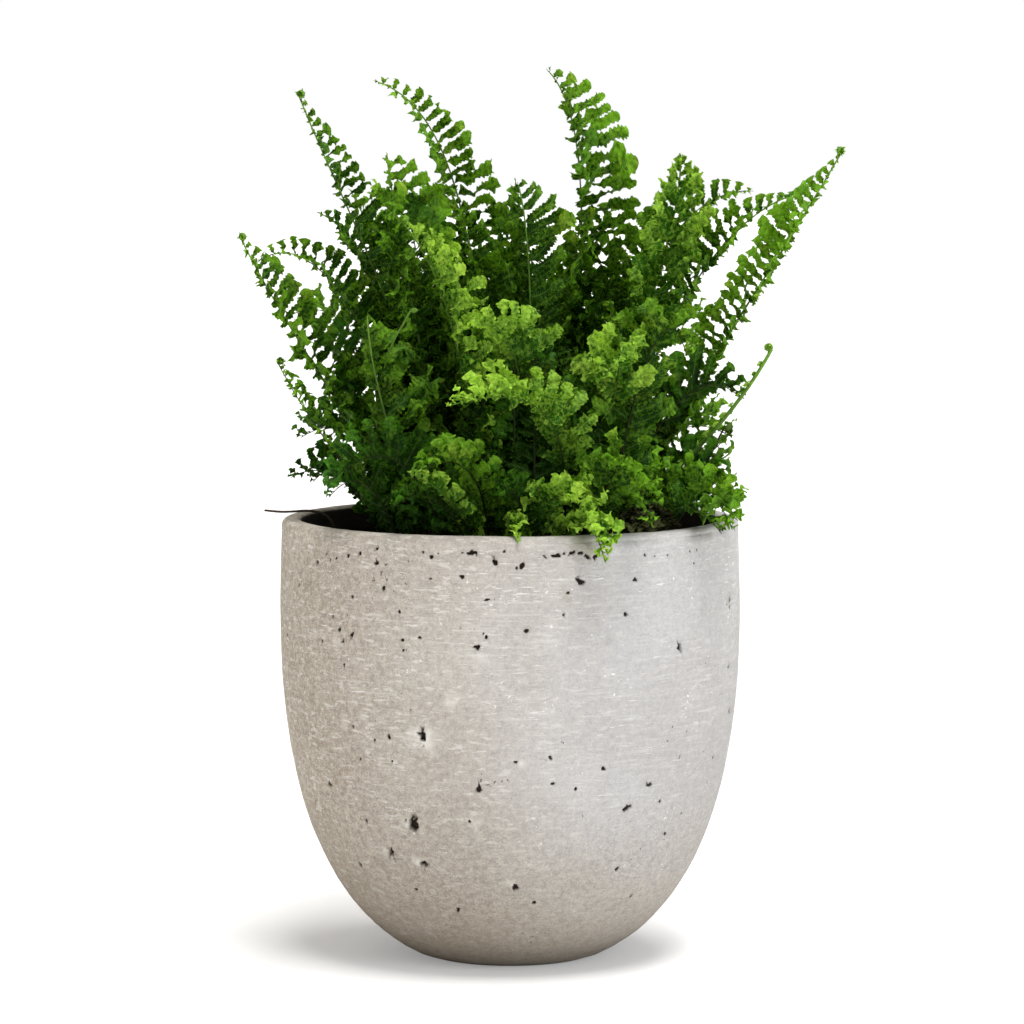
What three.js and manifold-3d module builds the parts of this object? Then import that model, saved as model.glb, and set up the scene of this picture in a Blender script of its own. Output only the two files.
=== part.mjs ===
// A potted Boston fern: a round concrete planter filled with soil, and a dense clump of arching fronds.
// Millimetres, +Z up, origin at the centre of the planter's flat underside, photo side facing -Y.

import * as THREE from 'three';
import { mergeVertices } from 'three/addons/utils/BufferGeometryUtils.js';
import Module from 'manifold-3d';

// Planter: a superellipse bowl under an almost straight upper wall
const POT_HEIGHT = 181;
const POT_RADIUS = 95;
const RIM_RADIUS = 94.2;
const WALL = 8;
const FLOOR = 12;
const WIDEST_AT = 150;
const BOWL_DEPTH = 156;
const BOWL_POWER = 2.5;
const RIM_ROUND = 2.2;
const POT_SIDES = 40;
const OUTSIDE_STEPS = 8;
const INSIDE_STEPS = 5;
const LOW_CROWDING = 1.7;

// Soil: fills the planter to a low mound, with a mossy rise at the front right
const SEAT_GAP = 0.3;
const SOIL_EDGE = 166;
const SOIL_MOUND = 6;
const MOSS_RISE = 13;
const MOSS_CENTRE = [56, -50];
const MOSS_SPREAD = 13;
const MOSS_FADE = 12;
const SOIL_RINGS = [0.93, 0.75, 0.56, 0.32];

// Stipes: each stands in a plain six-sided hole
const ROOT_DEPTH = 13;
const HOLE_RADIUS = 2.4;
const STIPE_WIDTH = 2.4;
const STIPE_THICK = 2;
const RIB_WIDTH = 1.3;
const RIB_THICK = 0.9;
const THIN_FROM = 0.6;
const STIPE_PULL = 0.3;
const STIPE_RISE = 0.55;
const ROLL_RATE = 1.6;
const STIPE_STEPS = 3;
const YOUNG_STEM_STEPS = 9;

// Leaflets
const LEAF_THICK = 0.75;
const LEAF_PITCH = 14.3;
const PITCH_LEAST = 0.35;
const FULL_HALF_WIDTH = 20;
const FEWEST_PAIRS = 5;
const PITCH_TAPER = 0.3;
const LEAF_WIDEST = 0.45;
const LEAF_MARGIN = 0.12;
const LEAF_TIP_AT = 0.56;
const LEAF_SAG = 0.16;
const LEAF_ANGLE = 62;
const LEAF_DROOP = 12;
const LEAF_RAISE = 46;
const RAISED_FROM = 0.7;
const FOOT_LENGTH = 0.62;
const FOOT_SHARE = 0.25;
const TIP_TAPER = 0.3;
const BLUNT_TAPER = 0.17;
const TIP_POWER = 0.8;
const LENGTH_LEAST = 0.94;
const LENGTH_SPREAD = 0.12;
const WAVE = 0.9;
const WAVE_SHIFT = 0.3;
const WAVE_END = 1.3;
const SAMPLE_MARGIN = 0.04;
const LEAF_CLEAR = 2.5;
const RIB_CLEAR = 2.7;
const SAMPLE_STEP = 1.7;
const BARE_SHARE = 0.2;

// Curled tips: a few straight steps, each shorter and turned further than the last
const CURL_STEPS = 5;
const CURL_STEP = 3;
const CURL_SHRINK = 0.11;
const CURL_TURN = 38;
const CURL_TURN_MORE = 9;
const CURL_WIDTH = 1.6;

const COLOURS = {
  pot: 0xb9b2a6,
  soil: 0x2d2319,
  runner: 0x33281c,
  dark: 0x2f5420,
  mid: 0x4d7a2a,
  bright: 0x86ae3a,
};

// Fronds that the photo shows: name, foot [x, y], shoulder, tip, half width, roll, curled tip, colour
const SHOWN_FRONDS = [
  ['left_tall', [-20, 0], [-68, -8, 308], [-86, -10, 354], 17, -45, true, 'mid'],
  ['top_left', [-8, 12], [-17, 20, 350], [-57, 30, 361], 19, -45, false, 'mid'],
  ['top_middle', [24, 10], [38, 18, 344], [15, 32, 366], 23, 32, false, 'mid'],
  ['right_upright', [30, -4], [70, -18, 292], [70, 0, 330], 20, 88, false, 'bright'],
  ['right_back_arch', [30, 16], [64, 28, 318], [102, 34, 315], 20, 48, false, 'mid'],
  ['right_arch', [38, 4], [82, -4, 304], [117, -6, 314], 18, 45, false, 'mid'],
  ['right_long', [48, -4], [94, -4, 260], [136, 0, 331], 15, 45, true, 'mid'],
  ['left_long', [-42, -6], [-84, -10, 244], [-110, -10, 296], 18, -45, true, 'mid'],
  ['left_back', [-28, 14], [-58, 24, 298], [-80, 28, 306], 20, -40, false, 'mid'],
  ['left_young', [-48, -18], [-78, -27, 214], [-94, -28, 246], 9, -40, true, 'mid'],
  ['left_mid', [-46, 5], [-70, 2, 250], [-84, 8, 262], 19, -45, false, 'dark'],
  ['left_low', [-52, -6], [-74, -10, 208], [-90, -12, 198], 13, -35, false, 'dark'],
  ['left_side_low', [-54, 16], [-70, 26, 208], [-83, 32, 193], 13, -35, false, 'dark'],
  ['left_face', [-26, -14], [-44, -28, 288], [-50, -22, 330], 25, -75, false, 'mid'],
  ['left_front', [-38, -30], [-56, -50, 238], [-57, -48, 266], 20, 25, false, 'mid'],
  ['front_bright', [-14, -26], [-20, -50, 276], [-43, -44, 303], 22, -40, true, 'bright'],
  ['centre_curl', [-6, -4], [-12, -2, 292], [-24, 2, 314], 17, -45, true, 'mid'],
  ['centre_broad', [8, -8], [10, -10, 296], [3, -22, 319], 21, 0, false, 'mid'],
  ['front_centre', [8, -24], [5, -60, 272], [-15, -77, 262], 21, 15, false, 'bright'],
  ['front_pale', [22, -34], [24, -78, 246], [-25, -91, 232], 18, 0, false, 'bright'],
  ['front_low', [-8, -44], [-14, -80, 218], [-38, -84, 206], 14, 0, false, 'mid'],
  ['front_over_rim', [8, -46], [22, -84, 212], [38, -103, 175], 13, 0, false, 'bright'],
  ['left_front_low', [-26, -42], [-48, -70, 226], [-72, -78, 200], 18, 25, false, 'dark'],
  ['right_low', [58, 2], [76, 2, 222], [89, 0, 207], 14, 40, false, 'mid'],
  ['right_over_rim', [52, -26], [76, -56, 212], [88, -72, 182], 17, -30, false, 'mid'],
  ['young_right', [42, -30], [84, -46, 214], [105, -41, 252], 0, 0, true, 'bright'],
  ['young_low', [57, -12], [76, -18, 203], [90, -20, 217], 6, 0, true, 'mid'],
  ['front_right_tip', [30, -20], [54, -58, 266], [34, -82, 240], 19, 0, false, 'bright'],
  ['front_right_low', [34, -42], [46, -80, 226], [54, -99, 186], 18, 0, false, 'mid'],
  ['left_arch', [-34, 4], [-78, 4, 306], [-104, 0, 286], 15, -45, false, 'mid'],
  ['right_lush', [40, -28], [62, -56, 284], [70, -66, 250], 22, -20, false, 'mid'],
  ['right_front', [60, -22], [78, -38, 218], [84, -48, 200], 15, -30, false, 'dark'],
  ['front_rim_left', [-16, -56], [-32, -76, 204], [-46, -84, 192], 12, 0, false, 'dark'],
  ['front_rim', [6, -56], [4, -74, 203], [-4, -87, 196], 12, 0, false, 'dark'],
  ['left_rim', [-44, -42], [-60, -56, 210], [-72, -62, 194], 13, 30, false, 'dark'],
  ['right_mid', [42, -14], [76, -24, 252], [94, -32, 231], 20, -50, false, 'dark'],
];

// Fronds with a blunt tip
const BLUNT = ['left_face', 'centre_broad', 'right_upright', 'front_over_rim', 'front_right_tip'];

// Fronds behind, in tiers: name, count, first and last azimuth, foot radius, reach, shoulder and tip height
const BACK_TIERS = [
  { name: 'back_low', count: 8, from: 32, to: 148, foot: 57, reach: 106, shoulder: 220, tip: 203, half: 18 },
  { name: 'back_mid', count: 6, from: 22, to: 158, foot: 40, reach: 98, shoulder: 276, tip: 262, half: 21 },
  { name: 'back_high', count: 3, from: 42, to: 138, foot: 24, reach: 62, shoulder: 300, tip: 306, half: 20 },
];
const BACK_JITTER = 5;
const BACK_REACH_LEAST = 0.92;
const BACK_REACH_SPREAD = 0.12;
const BACK_LIFT = 8;
const BACK_SHOULDER_AT = 0.72;
const BACK_ROLL = 30;
const BACK_CURLED = 0.3;
const BACK_MID = 0.6;
const BACK_SEED = 41;
const LEAF_SEED = 7;

// A runner that crosses the rim at the left
const RUNNER_PATH = [
  [-72, 12, 155.1],
  [-72, 12, 163],
  [-72, 12, 170],
  [-75, 11, 179],
  [-82, 10, 182.5],
  [-94, 9, 182.3],
  [-102, 8, 183],
];
const RUNNER_RADIUS = 0.7;
const RUNNER_SIDES = 6;
const RUNNER_STEPS = 12;

const wasm = await Module();
wasm.setup();

const UP = new THREE.Vector3(0, 0, 1);
const vec = (x, y, z) => new THREE.Vector3(x, y, z);
const rad = (degrees) => THREE.MathUtils.degToRad(degrees);

// Repeatable random numbers from 0 to 1
function seeded(seed) {
  let state = seed >>> 0;
  return () => {
    state = (Math.imul(state, 1664525) + 1013904223) >>> 0;
    return state / 4294967296;
  };
}

// Shared vertices merged, collapsed triangles dropped
function weld(geometry) {
  geometry.deleteAttribute('normal');
  geometry.deleteAttribute('uv');
  const merged = mergeVertices(geometry, 1e-4);
  const kept = [];
  const corners = merged.index.array;
  for (let i = 0; i < corners.length; i += 3) {
    const [a, b, c] = corners.slice(i, i + 3);
    if (a !== b && b !== c && c !== a) kept.push(a, b, c);
  }
  merged.setIndex(kept);
  return merged;
}

function toSolid(geometry) {
  const merged = weld(geometry);
  return new wasm.Manifold(new wasm.Mesh({
    numProp: 3,
    vertProperties: new Float32Array(merged.attributes.position.array),
    triVerts: new Uint32Array(merged.index.array),
  }));
}

function fromSolid(solid) {
  const mesh = solid.getMesh();
  const geometry = new THREE.BufferGeometry();
  geometry.setAttribute('position', new THREE.BufferAttribute(mesh.vertProperties, 3));
  geometry.setIndex(new THREE.BufferAttribute(mesh.triVerts, 1));
  return geometry;
}

function node(name, geometry, colour, roughness) {
  const material = new THREE.MeshStandardMaterial({ color: colour, roughness, metalness: 0 });
  const mesh = new THREE.Mesh(geometry, material);
  mesh.name = name;
  return mesh;
}

// Planter wall radius at height z, drawn in by inset
function bowlRadius(z, inset) {
  if (z >= WIDEST_AT) {
    const rise = (z - WIDEST_AT) / (POT_HEIGHT - WIDEST_AT);
    return POT_RADIUS - inset - rise * (POT_RADIUS - RIM_RADIUS);
  }
  const fall = ((WIDEST_AT - z) / (BOWL_DEPTH - inset)) ** BOWL_POWER;
  return (POT_RADIUS - inset) * (1 - fall) ** (1 / BOWL_POWER);
}

// Heights from low to high, closer together near the floor where the bowl turns in
function bowlHeights(low, high, steps) {
  const heights = [];
  for (let i = 0; i <= steps; i += 1) heights.push(low + (high - low) * (i / steps) ** LOW_CROWDING);
  return heights;
}

// The planter's inner wall from its floor up to the soil's edge
function insideProfile() {
  return bowlHeights(FLOOR, SOIL_EDGE, INSIDE_STEPS).map((z) => [bowlRadius(z, WALL), z]);
}

function lathe(profile) {
  const points = profile.map(([r, z]) => new THREE.Vector2(r, z));
  return weld(new THREE.LatheGeometry(points, POT_SIDES).rotateX(Math.PI / 2));
}

function potGeometry() {
  const outside = bowlHeights(0, POT_HEIGHT - RIM_ROUND, OUTSIDE_STEPS).map((z) => [bowlRadius(z, 0), z]);
  const rim = [
    [RIM_RADIUS - RIM_ROUND, POT_HEIGHT],
    [RIM_RADIUS - WALL + RIM_ROUND / 2, POT_HEIGHT],
    [RIM_RADIUS - WALL, POT_HEIGHT - RIM_ROUND],
  ];
  return lathe([[0, 0], ...outside, ...rim, ...insideProfile().reverse(), [0, FLOOR]]);
}

function soilHeight(x, y) {
  const r = Math.hypot(x, y) / (POT_RADIUS - WALL);
  const moss = Math.exp(-((x - MOSS_CENTRE[0]) ** 2 + (y - MOSS_CENTRE[1]) ** 2) / (2 * MOSS_SPREAD ** 2));
  const kept = Math.min(1, (1 - r) * MOSS_FADE);
  return SOIL_EDGE + SOIL_MOUND * (1 - r * r) + MOSS_RISE * moss * kept;
}

function soilGeometry(feet) {
  const wall = insideProfile().map(([r, z]) => [r - SEAT_GAP, z + SEAT_GAP]);
  const top = SOIL_RINGS.map((share) => [share * (POT_RADIUS - WALL), SOIL_EDGE + 1]);
  const body = lathe([[0, FLOOR + SEAT_GAP], ...wall, ...top, [0, SOIL_EDGE + 1]]);
  const place = body.attributes.position;
  for (let i = 0; i < place.count; i += 1) {
    if (place.getZ(i) > SOIL_EDGE + 0.5) place.setZ(i, soilHeight(place.getX(i), place.getY(i)));
  }
  let soil = toSolid(body);
  for (const [x, y] of feet) {
    const height = ROOT_DEPTH + MOSS_RISE + SOIL_MOUND;
    const hole = new THREE.CylinderGeometry(HOLE_RADIUS, HOLE_RADIUS, height, 6).rotateX(Math.PI / 2);
    hole.translate(x, y, soilHeight(x, y) - ROOT_DEPTH + height / 2);
    soil = soil.subtract(toSolid(hole));
  }
  return fromSolid(soil);
}

// Rachis: a cubic curve from the soil, pulled over by its shoulder
function rachisOf(frond) {
  const [x, y] = frond.foot;
  const foot = vec(x, y, soilHeight(x, y) + 1);
  const shoulder = vec(...frond.shoulder);
  const rise = vec(
    x + STIPE_PULL * (shoulder.x - x),
    y + STIPE_PULL * (shoulder.y - y),
    foot.z + STIPE_RISE * (shoulder.z - foot.z),
  );
  return new THREE.CubicBezierCurve3(foot, rise, shoulder, vec(...frond.tip));
}

// Right, up and forward at a point of the rachis, turned by the frond's roll
function frameAt(frond, t) {
  const forward = frond.curve.getTangentAt(t);
  const across = frond.across.clone().addScaledVector(forward, -frond.across.dot(forward)).normalize();
  across.applyAxisAngle(forward, rad(frond.roll) * Math.min(1, t * ROLL_RATE));
  return { at: frond.curve.getPointAt(t), forward, across, up: across.clone().cross(forward) };
}

// The sunk end of a stipe, upright in its hole
function rootStation(frond) {
  const [x, y] = frond.foot;
  const across = frameAt(frond, 0).across.setZ(0).normalize();
  return {
    at: vec(x, y, soilHeight(x, y) - ROOT_DEPTH + SEAT_GAP),
    across,
    forward: UP.clone(),
    up: across.clone().cross(UP),
    ...ribSize(0),
  };
}

// Leaflet pairs on a blade: narrow fronds carry them closer together
function pairsOn(frond) {
  if (frond.half === 0) return 0;
  const pitch = LEAF_PITCH * (PITCH_LEAST + ((1 - PITCH_LEAST) * frond.half) / FULL_HALF_WIDTH);
  const length = frond.curve.getLength() * (1 - BARE_SHARE);
  return Math.max(FEWEST_PAIRS, Math.round(length / pitch));
}

// Stations along a frond: root, stipe, leafy rib and, where it has one, the curled tip
function stationsOf(frond) {
  const stations = [rootStation(frond)];
  const pairs = pairsOn(frond);
  const bare = pairs ? BARE_SHARE : 1;
  const steps = pairs ? STIPE_STEPS : YOUNG_STEM_STEPS;
  for (let i = 0; i < steps; i += 1) {
    const t = (bare * i) / steps;
    stations.push({ ...frameAt(frond, t), ...ribSize(t) });
  }
  for (let i = 0; i <= pairs; i += 1) {
    const along = pairs ? i / pairs : 1;
    const t = bare + (1 - bare) * ((1 + PITCH_TAPER) * along - PITCH_TAPER * along * along);
    const share = pairs ? (i + 0.5) / pairs : 1;
    stations.push({ ...frameAt(frond, t), ...ribSize(t), leafy: i < pairs, share });
  }
  if (frond.curled) curlTip(stations, frond);
  return stations;
}

function ribSize(t) {
  const taper = Math.min(1, t / THIN_FROM);
  return {
    width: STIPE_WIDTH + (RIB_WIDTH - STIPE_WIDTH) * taper,
    thick: STIPE_THICK + (RIB_THICK - STIPE_THICK) * taper,
  };
}

function curlTip(stations, frond) {
  let last = stations.at(-1);
  for (let i = 0; i < CURL_STEPS; i += 1) {
    const turn = rad(CURL_TURN + CURL_TURN_MORE * i);
    const forward = last.forward.clone().applyAxisAngle(last.across, turn);
    const up = last.across.clone().cross(forward);
    const at = last.at.clone().addScaledVector(forward, CURL_STEP * (1 - CURL_SHRINK * i));
    last = { at, forward, across: last.across, up, width: CURL_WIDTH, thick: RIB_THICK };
    stations.push(last);
  }
}

// Leaflet length along the blade: shorter at its foot, tapering to the tip
function leafLength(frond, share) {
  const foot = FOOT_LENGTH + (1 - FOOT_LENGTH) * Math.min(1, share / FOOT_SHARE);
  const tip = Math.min(1, (1 - share) / frond.taper) ** TIP_POWER;
  return frond.half * foot * tip;
}

// Leaflets hang a little at the blade's foot and stand up as a V towards its tip
function leafDroop(share) {
  return LEAF_DROOP - LEAF_RAISE * Math.min(1, share / RAISED_FROM);
}

// One leaflet on side +1 (right) or -1 (left) between two stations, as a frame with its outline points
function leafletOf(from, to, side, length, droop, waved) {
  const tilt = rad(droop);
  const across = from.across.clone().add(to.across).normalize();
  const rise = from.up.clone().add(to.up).normalize();
  const lateral = across.clone().multiplyScalar(side * Math.cos(tilt)).addScaledVector(rise, -Math.sin(tilt));
  const normal = rise.multiplyScalar(Math.cos(tilt)).addScaledVector(across, side * Math.sin(tilt));
  const along = from.forward.clone().add(to.forward).normalize().multiplyScalar(Math.cos(rad(LEAF_ANGLE)));
  along.addScaledVector(lateral, Math.sin(rad(LEAF_ANGLE)));
  const back = from.at.clone().addScaledVector(from.across, (side * from.width) / 2);
  const front = to.at.clone().addScaledVector(to.across, (side * to.width) / 2);
  const point = (u, v) => {
    const sag = LEAF_SAG * length * u * u;
    const wave = waved * (v - 0.5) * u * (WAVE_END - u);
    return back.clone().lerp(front, v).addScaledVector(along, u * length).addScaledVector(normal, wave - sag);
  };
  return { point, normal, length, gap: back.distanceTo(front) };
}

// Points over a leaflet, close enough together that nothing thin passes between them
function leafSamples(leaf) {
  const rows = Math.ceil(leaf.length / SAMPLE_STEP);
  const columns = Math.ceil(leaf.gap / SAMPLE_STEP);
  const samples = [];
  for (let i = 1; i <= rows; i += 1) {
    const u = i / rows;
    const beyond = Math.max(0, (u - LEAF_WIDEST) / (1 - LEAF_WIDEST));
    const spread = 0.5 * (1 - beyond ** 1.5) + (beyond > 0 ? SAMPLE_MARGIN : 0);
    for (let j = 0; j <= columns; j += 1) samples.push(leaf.point(u, 0.5 + spread * (2 * (j / columns) - 1)));
  }
  return samples;
}

// A grid of cells that finds samples of other fronds near a point
class Neighbours {
  constructor(cell) {
    this.cell = cell;
    this.cells = new Map();
  }

  key(x, y, z) {
    return `${x},${y},${z}`;
  }

  add(points, owner) {
    for (const point of points) {
      const key = this.key(...point.toArray().map((value) => Math.floor(value / this.cell)));
      if (!this.cells.has(key)) this.cells.set(key, []);
      this.cells.get(key).push({ point, owner });
    }
  }

  clear(points, owner, distance) {
    return points.every((point) => {
      const [cx, cy, cz] = point.toArray().map((value) => Math.floor(value / this.cell));
      for (let x = cx - 1; x <= cx + 1; x += 1) {
        for (let y = cy - 1; y <= cy + 1; y += 1) {
          for (let z = cz - 1; z <= cz + 1; z += 1) {
            const near = this.cells.get(this.key(x, y, z)) ?? [];
            const others = near.filter((other) => other.owner !== owner);
            if (others.some((other) => other.point.distanceTo(point) < distance)) return false;
          }
        }
      }
      return true;
    });
  }
}

// True where a point keeps off the planter and the soil
function offThePot(point) {
  const r = Math.hypot(point.x, point.y);
  if (point.z > POT_HEIGHT + 1.2) return true;
  if (r > POT_RADIUS + 1.5) return point.z > 5;
  return r < RIM_RADIUS - WALL - 1.5 && point.z > soilHeight(point.x, point.y) + 2;
}

// Leaflets are swung up or down, then shortened, until they clear every other frond
const SWINGS = [0, 14, -14, 28, -28];
const LENGTHS = [1, 0.8, 0.6, 0.42];

function fitLeaflet(frond, from, to, side, space, random) {
  const length = leafLength(frond, from.share) * (LENGTH_LEAST + LENGTH_SPREAD * random());
  const waved = 4 * WAVE * (random() - WAVE_SHIFT);
  for (const share of LENGTHS) {
    for (const swing of SWINGS) {
      const leaf = leafletOf(from, to, side, length * share, leafDroop(from.share) + swing, waved);
      const samples = leafSamples(leaf);
      if (samples.every(offThePot) && space.clear(samples, frond.name, LEAF_CLEAR)) {
        space.add(samples, frond.name);
        return leaf;
      }
    }
  }
  return null;
}

// The closed skin of a frond: four corners a station, and leaflets in place of the side walls
class Skin {
  constructor() {
    this.points = [];
    this.faces = [];
  }

  point(at) {
    this.points.push(at.x, at.y, at.z);
    return this.points.length / 3 - 1;
  }

  quad(a, b, c, d) {
    this.faces.push(a, b, c, a, c, d);
  }

  station(s) {
    const corner = (side, lift) => {
      const edge = s.at.clone().addScaledVector(s.across, (side * s.width) / 2);
      return this.point(edge.addScaledVector(s.up, (lift * s.thick) / 2));
    };
    return { left: [corner(-1, 1), corner(-1, -1)], right: [corner(1, 1), corner(1, -1)] };
  }

  // Wall under the outline's edge, top and bottom corners in pairs
  wall(p, q) {
    this.quad(p[1], q[1], q[0], p[0]);
  }

  leaflet(leaf, start, end) {
    const pair = (u, v) => {
      const at = leaf.point(u, v);
      const lift = leaf.normal.clone().multiplyScalar(LEAF_THICK / 2);
      return [this.point(at.clone().add(lift)), this.point(at.clone().sub(lift))];
    };
    const nearStart = pair(LEAF_WIDEST, leaf.startsBack ? LEAF_MARGIN : 1 - LEAF_MARGIN);
    const tip = pair(1, LEAF_TIP_AT);
    const nearEnd = pair(LEAF_WIDEST, leaf.startsBack ? 1 - LEAF_MARGIN : LEAF_MARGIN);
    const faces = [[start, nearStart, nearEnd], [start, nearEnd, end], [nearStart, tip, nearEnd]];
    for (const [a, b, c] of faces) this.faces.push(a[0], b[0], c[0], a[1], c[1], b[1]);
    const outline = [start, nearStart, tip, nearEnd, end];
    for (let i = 0; i < outline.length - 1; i += 1) this.wall(outline[i], outline[i + 1]);
  }

  geometry() {
    const geometry = new THREE.BufferGeometry();
    geometry.setAttribute('position', new THREE.Float32BufferAttribute(this.points, 3));
    geometry.setIndex(this.faces);
    return geometry;
  }
}

function frondGeometry(frond, space, random) {
  const skin = new Skin();
  const corners = frond.stations.map((station) => skin.station(station));
  skin.quad(corners[0].left[1], corners[0].right[1], corners[0].right[0], corners[0].left[0]);
  for (let i = 0; i < corners.length - 1; i += 1) {
    const [a, b] = [corners[i], corners[i + 1]];
    skin.quad(a.left[0], a.right[0], b.right[0], b.left[0]);
    skin.quad(a.left[1], b.left[1], b.right[1], a.right[1]);
    const [from, to] = [frond.stations[i], frond.stations[i + 1]];
    const right = from.leafy ? fitLeaflet(frond, from, to, 1, space, random) : null;
    const left = from.leafy ? fitLeaflet(frond, from, to, -1, space, random) : null;
    if (right) skin.leaflet({ ...right, startsBack: true }, a.right, b.right);
    else skin.wall(a.right, b.right);
    if (left) skin.leaflet({ ...left, startsBack: false }, b.left, a.left);
    else skin.wall(b.left, a.left);
  }
  const end = corners.at(-1);
  skin.quad(end.left[0], end.right[0], end.right[1], end.left[1]);
  return skin.geometry();
}

// Points along the bare rib, for the clearance test
function ribSamples(frond) {
  const samples = [];
  frond.stations.slice(0, -1).forEach((station, i) => {
    const next = frond.stations[i + 1];
    const steps = Math.ceil(station.at.distanceTo(next.at) / SAMPLE_STEP);
    for (let k = 0; k < steps; k += 1) samples.push(station.at.clone().lerp(next.at, k / steps));
  });
  return samples;
}

function backFronds() {
  const random = seeded(BACK_SEED);
  const fronds = [];
  for (const tier of BACK_TIERS) {
    for (let i = 0; i < tier.count; i += 1) {
      const even = tier.from + ((tier.to - tier.from) * i) / (tier.count - 1);
      const turn = even + BACK_JITTER * (random() - 0.5);
      const [cos, sin] = [Math.cos(rad(turn)), Math.sin(rad(turn))];
      const reach = tier.reach * (BACK_REACH_LEAST + BACK_REACH_SPREAD * random());
      const lift = BACK_LIFT * random();
      fronds.push([
        `${tier.name}_${i + 1}`,
        [tier.foot * cos, tier.foot * sin],
        [BACK_SHOULDER_AT * reach * cos, BACK_SHOULDER_AT * reach * sin, tier.shoulder + lift],
        [reach * cos, reach * sin, tier.tip + lift],
        tier.half,
        BACK_ROLL * (random() - 0.5),
        random() < BACK_CURLED,
        random() < BACK_MID ? 'mid' : 'dark',
      ]);
    }
  }
  return fronds;
}

function growFrond([name, foot, shoulder, tip, half, roll, curled, colour]) {
  const frond = { name: `frond_${name}`, foot, shoulder, tip, half, roll, curled, colour };
  frond.taper = BLUNT.includes(name) ? BLUNT_TAPER : TIP_TAPER;
  frond.across = vec(tip[1] - foot[1], foot[0] - tip[0], 0).normalize();
  frond.curve = rachisOf(frond);
  frond.stations = stationsOf(frond);
  return frond;
}

function runnerGeometry() {
  const path = new THREE.CatmullRomCurve3(RUNNER_PATH.map((p) => vec(...p)));
  const round = new THREE.Shape();
  round.absarc(0, 0, RUNNER_RADIUS, 0, 2 * Math.PI);
  const options = { extrudePath: path, steps: RUNNER_STEPS, curveSegments: RUNNER_SIDES / 2 };
  return weld(new THREE.ExtrudeGeometry(round, options));
}

function build() {
  const fronds = [...SHOWN_FRONDS, ...backFronds()].map(growFrond);
  const space = new Neighbours(RIB_CLEAR);
  for (const frond of fronds) space.add(ribSamples(frond), frond.name);
  const feet = [...fronds.map((frond) => frond.foot), RUNNER_PATH[0]];
  const group = new THREE.Group();
  group.add(node('pot', potGeometry(), COLOURS.pot, 0.9));
  group.add(node('soil', soilGeometry(feet), COLOURS.soil, 1));
  group.add(node('runner', runnerGeometry(), COLOURS.runner, 0.9));
  const random = seeded(LEAF_SEED);
  for (const frond of fronds) {
    group.add(node(frond.name, frondGeometry(frond, space, random), COLOURS[frond.colour], 0.6));
  }
  return group;
}

export default build();
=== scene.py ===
# Looks of a potted boston fern: rough concrete planter, soil, moss and ruffled fronds. Metres, +Z up.
import math

import bmesh
import bpy
import numpy as np
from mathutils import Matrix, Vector, noise


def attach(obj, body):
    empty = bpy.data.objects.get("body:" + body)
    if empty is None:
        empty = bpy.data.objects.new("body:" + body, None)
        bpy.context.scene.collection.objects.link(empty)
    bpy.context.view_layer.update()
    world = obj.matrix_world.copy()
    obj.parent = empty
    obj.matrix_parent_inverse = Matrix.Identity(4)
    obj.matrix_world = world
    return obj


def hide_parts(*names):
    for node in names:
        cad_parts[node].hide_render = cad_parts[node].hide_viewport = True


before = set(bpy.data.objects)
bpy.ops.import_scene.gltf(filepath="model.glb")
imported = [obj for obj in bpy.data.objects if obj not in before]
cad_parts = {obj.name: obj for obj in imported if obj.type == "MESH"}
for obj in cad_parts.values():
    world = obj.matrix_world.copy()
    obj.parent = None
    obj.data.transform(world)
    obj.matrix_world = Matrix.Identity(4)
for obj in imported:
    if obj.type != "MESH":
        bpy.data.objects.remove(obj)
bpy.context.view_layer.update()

MM = 0.001

# Planter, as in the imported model
POT_HEIGHT = 0.181
POT_RADIUS = 0.095
RIM_RADIUS = 0.0942
WALL = 0.008
FLOOR = 0.012
WIDEST_AT = 0.150
BOWL_DEPTH = 0.156
BOWL_POWER = 2.5
RIM_ROUND = 0.0026
INNER_ROUND = 0.0018
FOOT_ROUND = 0.0016

# The planter's mesh: sides, spacing up the wall, and where the fine part starts underneath and ends inside
POT_SIDES = 250
GRID = 0.0022
FINE_FROM = 0.008
FINE_DOWN_TO = 0.170

# Soil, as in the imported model
SEAT_GAP = 0.0003
SOIL_EDGE = 0.166
SOIL_MOUND = 0.006
MOSS_RISE = 0.013
MOSS_CENTRE = (0.056, -0.050)
MOSS_SPREAD = 0.013
MOSS_PILE = 0.007
MOSS_FLAKES = 1700
LITTER_FLAKES = 500
FLAKES_WITHIN = 0.083

# Studio
SKY_COLOUR = (1, 0.972, 0.935, 1)
SUN_COLOUR = (1, 0.985, 0.96)
FILL_COLOUR = (0.86, 0.93, 1)
FILL_FROM = (1.5, -1.5, 0.8)
FILL_AT = (0, 0, 0.12)
FILL_SIZE = 1.0
FILL_POWER = 20
FLOOR_REACH = 30
SKY_POWER = 0.45
FLOOR_WHITE = 0.25
# Suns: name, where each stands, power, width in degrees
SUNS = [
    ("key", (0.20, -0.56, 1.7), 2.3, 22),
    ("top", (0.38, 0.25, 1.7), 1.6, 26),
]

# Photo camera
FRAME_PIXELS = 1024
FOCAL_PIXELS = 3993
SENSOR = 36
CAMERA_DISTANCE = 1.65
CAMERA_PITCH = math.radians(4.9)
CAMERA_TARGET = Vector((0.0008, 0, 0.183))


def smooth_faces(mesh):
    mesh.polygons.foreach_set("use_smooth", [True] * len(mesh.polygons))


def new_object(name, vertices, faces, materials):
    mesh = bpy.data.meshes.new(name)
    mesh.from_pydata(vertices, [], faces)
    mesh.update()
    for material in materials:
        mesh.materials.append(material)
    smooth_faces(mesh)
    piece = bpy.data.objects.new(name, mesh)
    bpy.context.scene.collection.objects.link(piece)
    return piece


def dress(piece, node):
    """Hides the imported part that the piece stands in for, if there is one. Every piece rides on the one
    body.
    """
    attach(piece, "root")
    if node:
        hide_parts(node)


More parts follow.
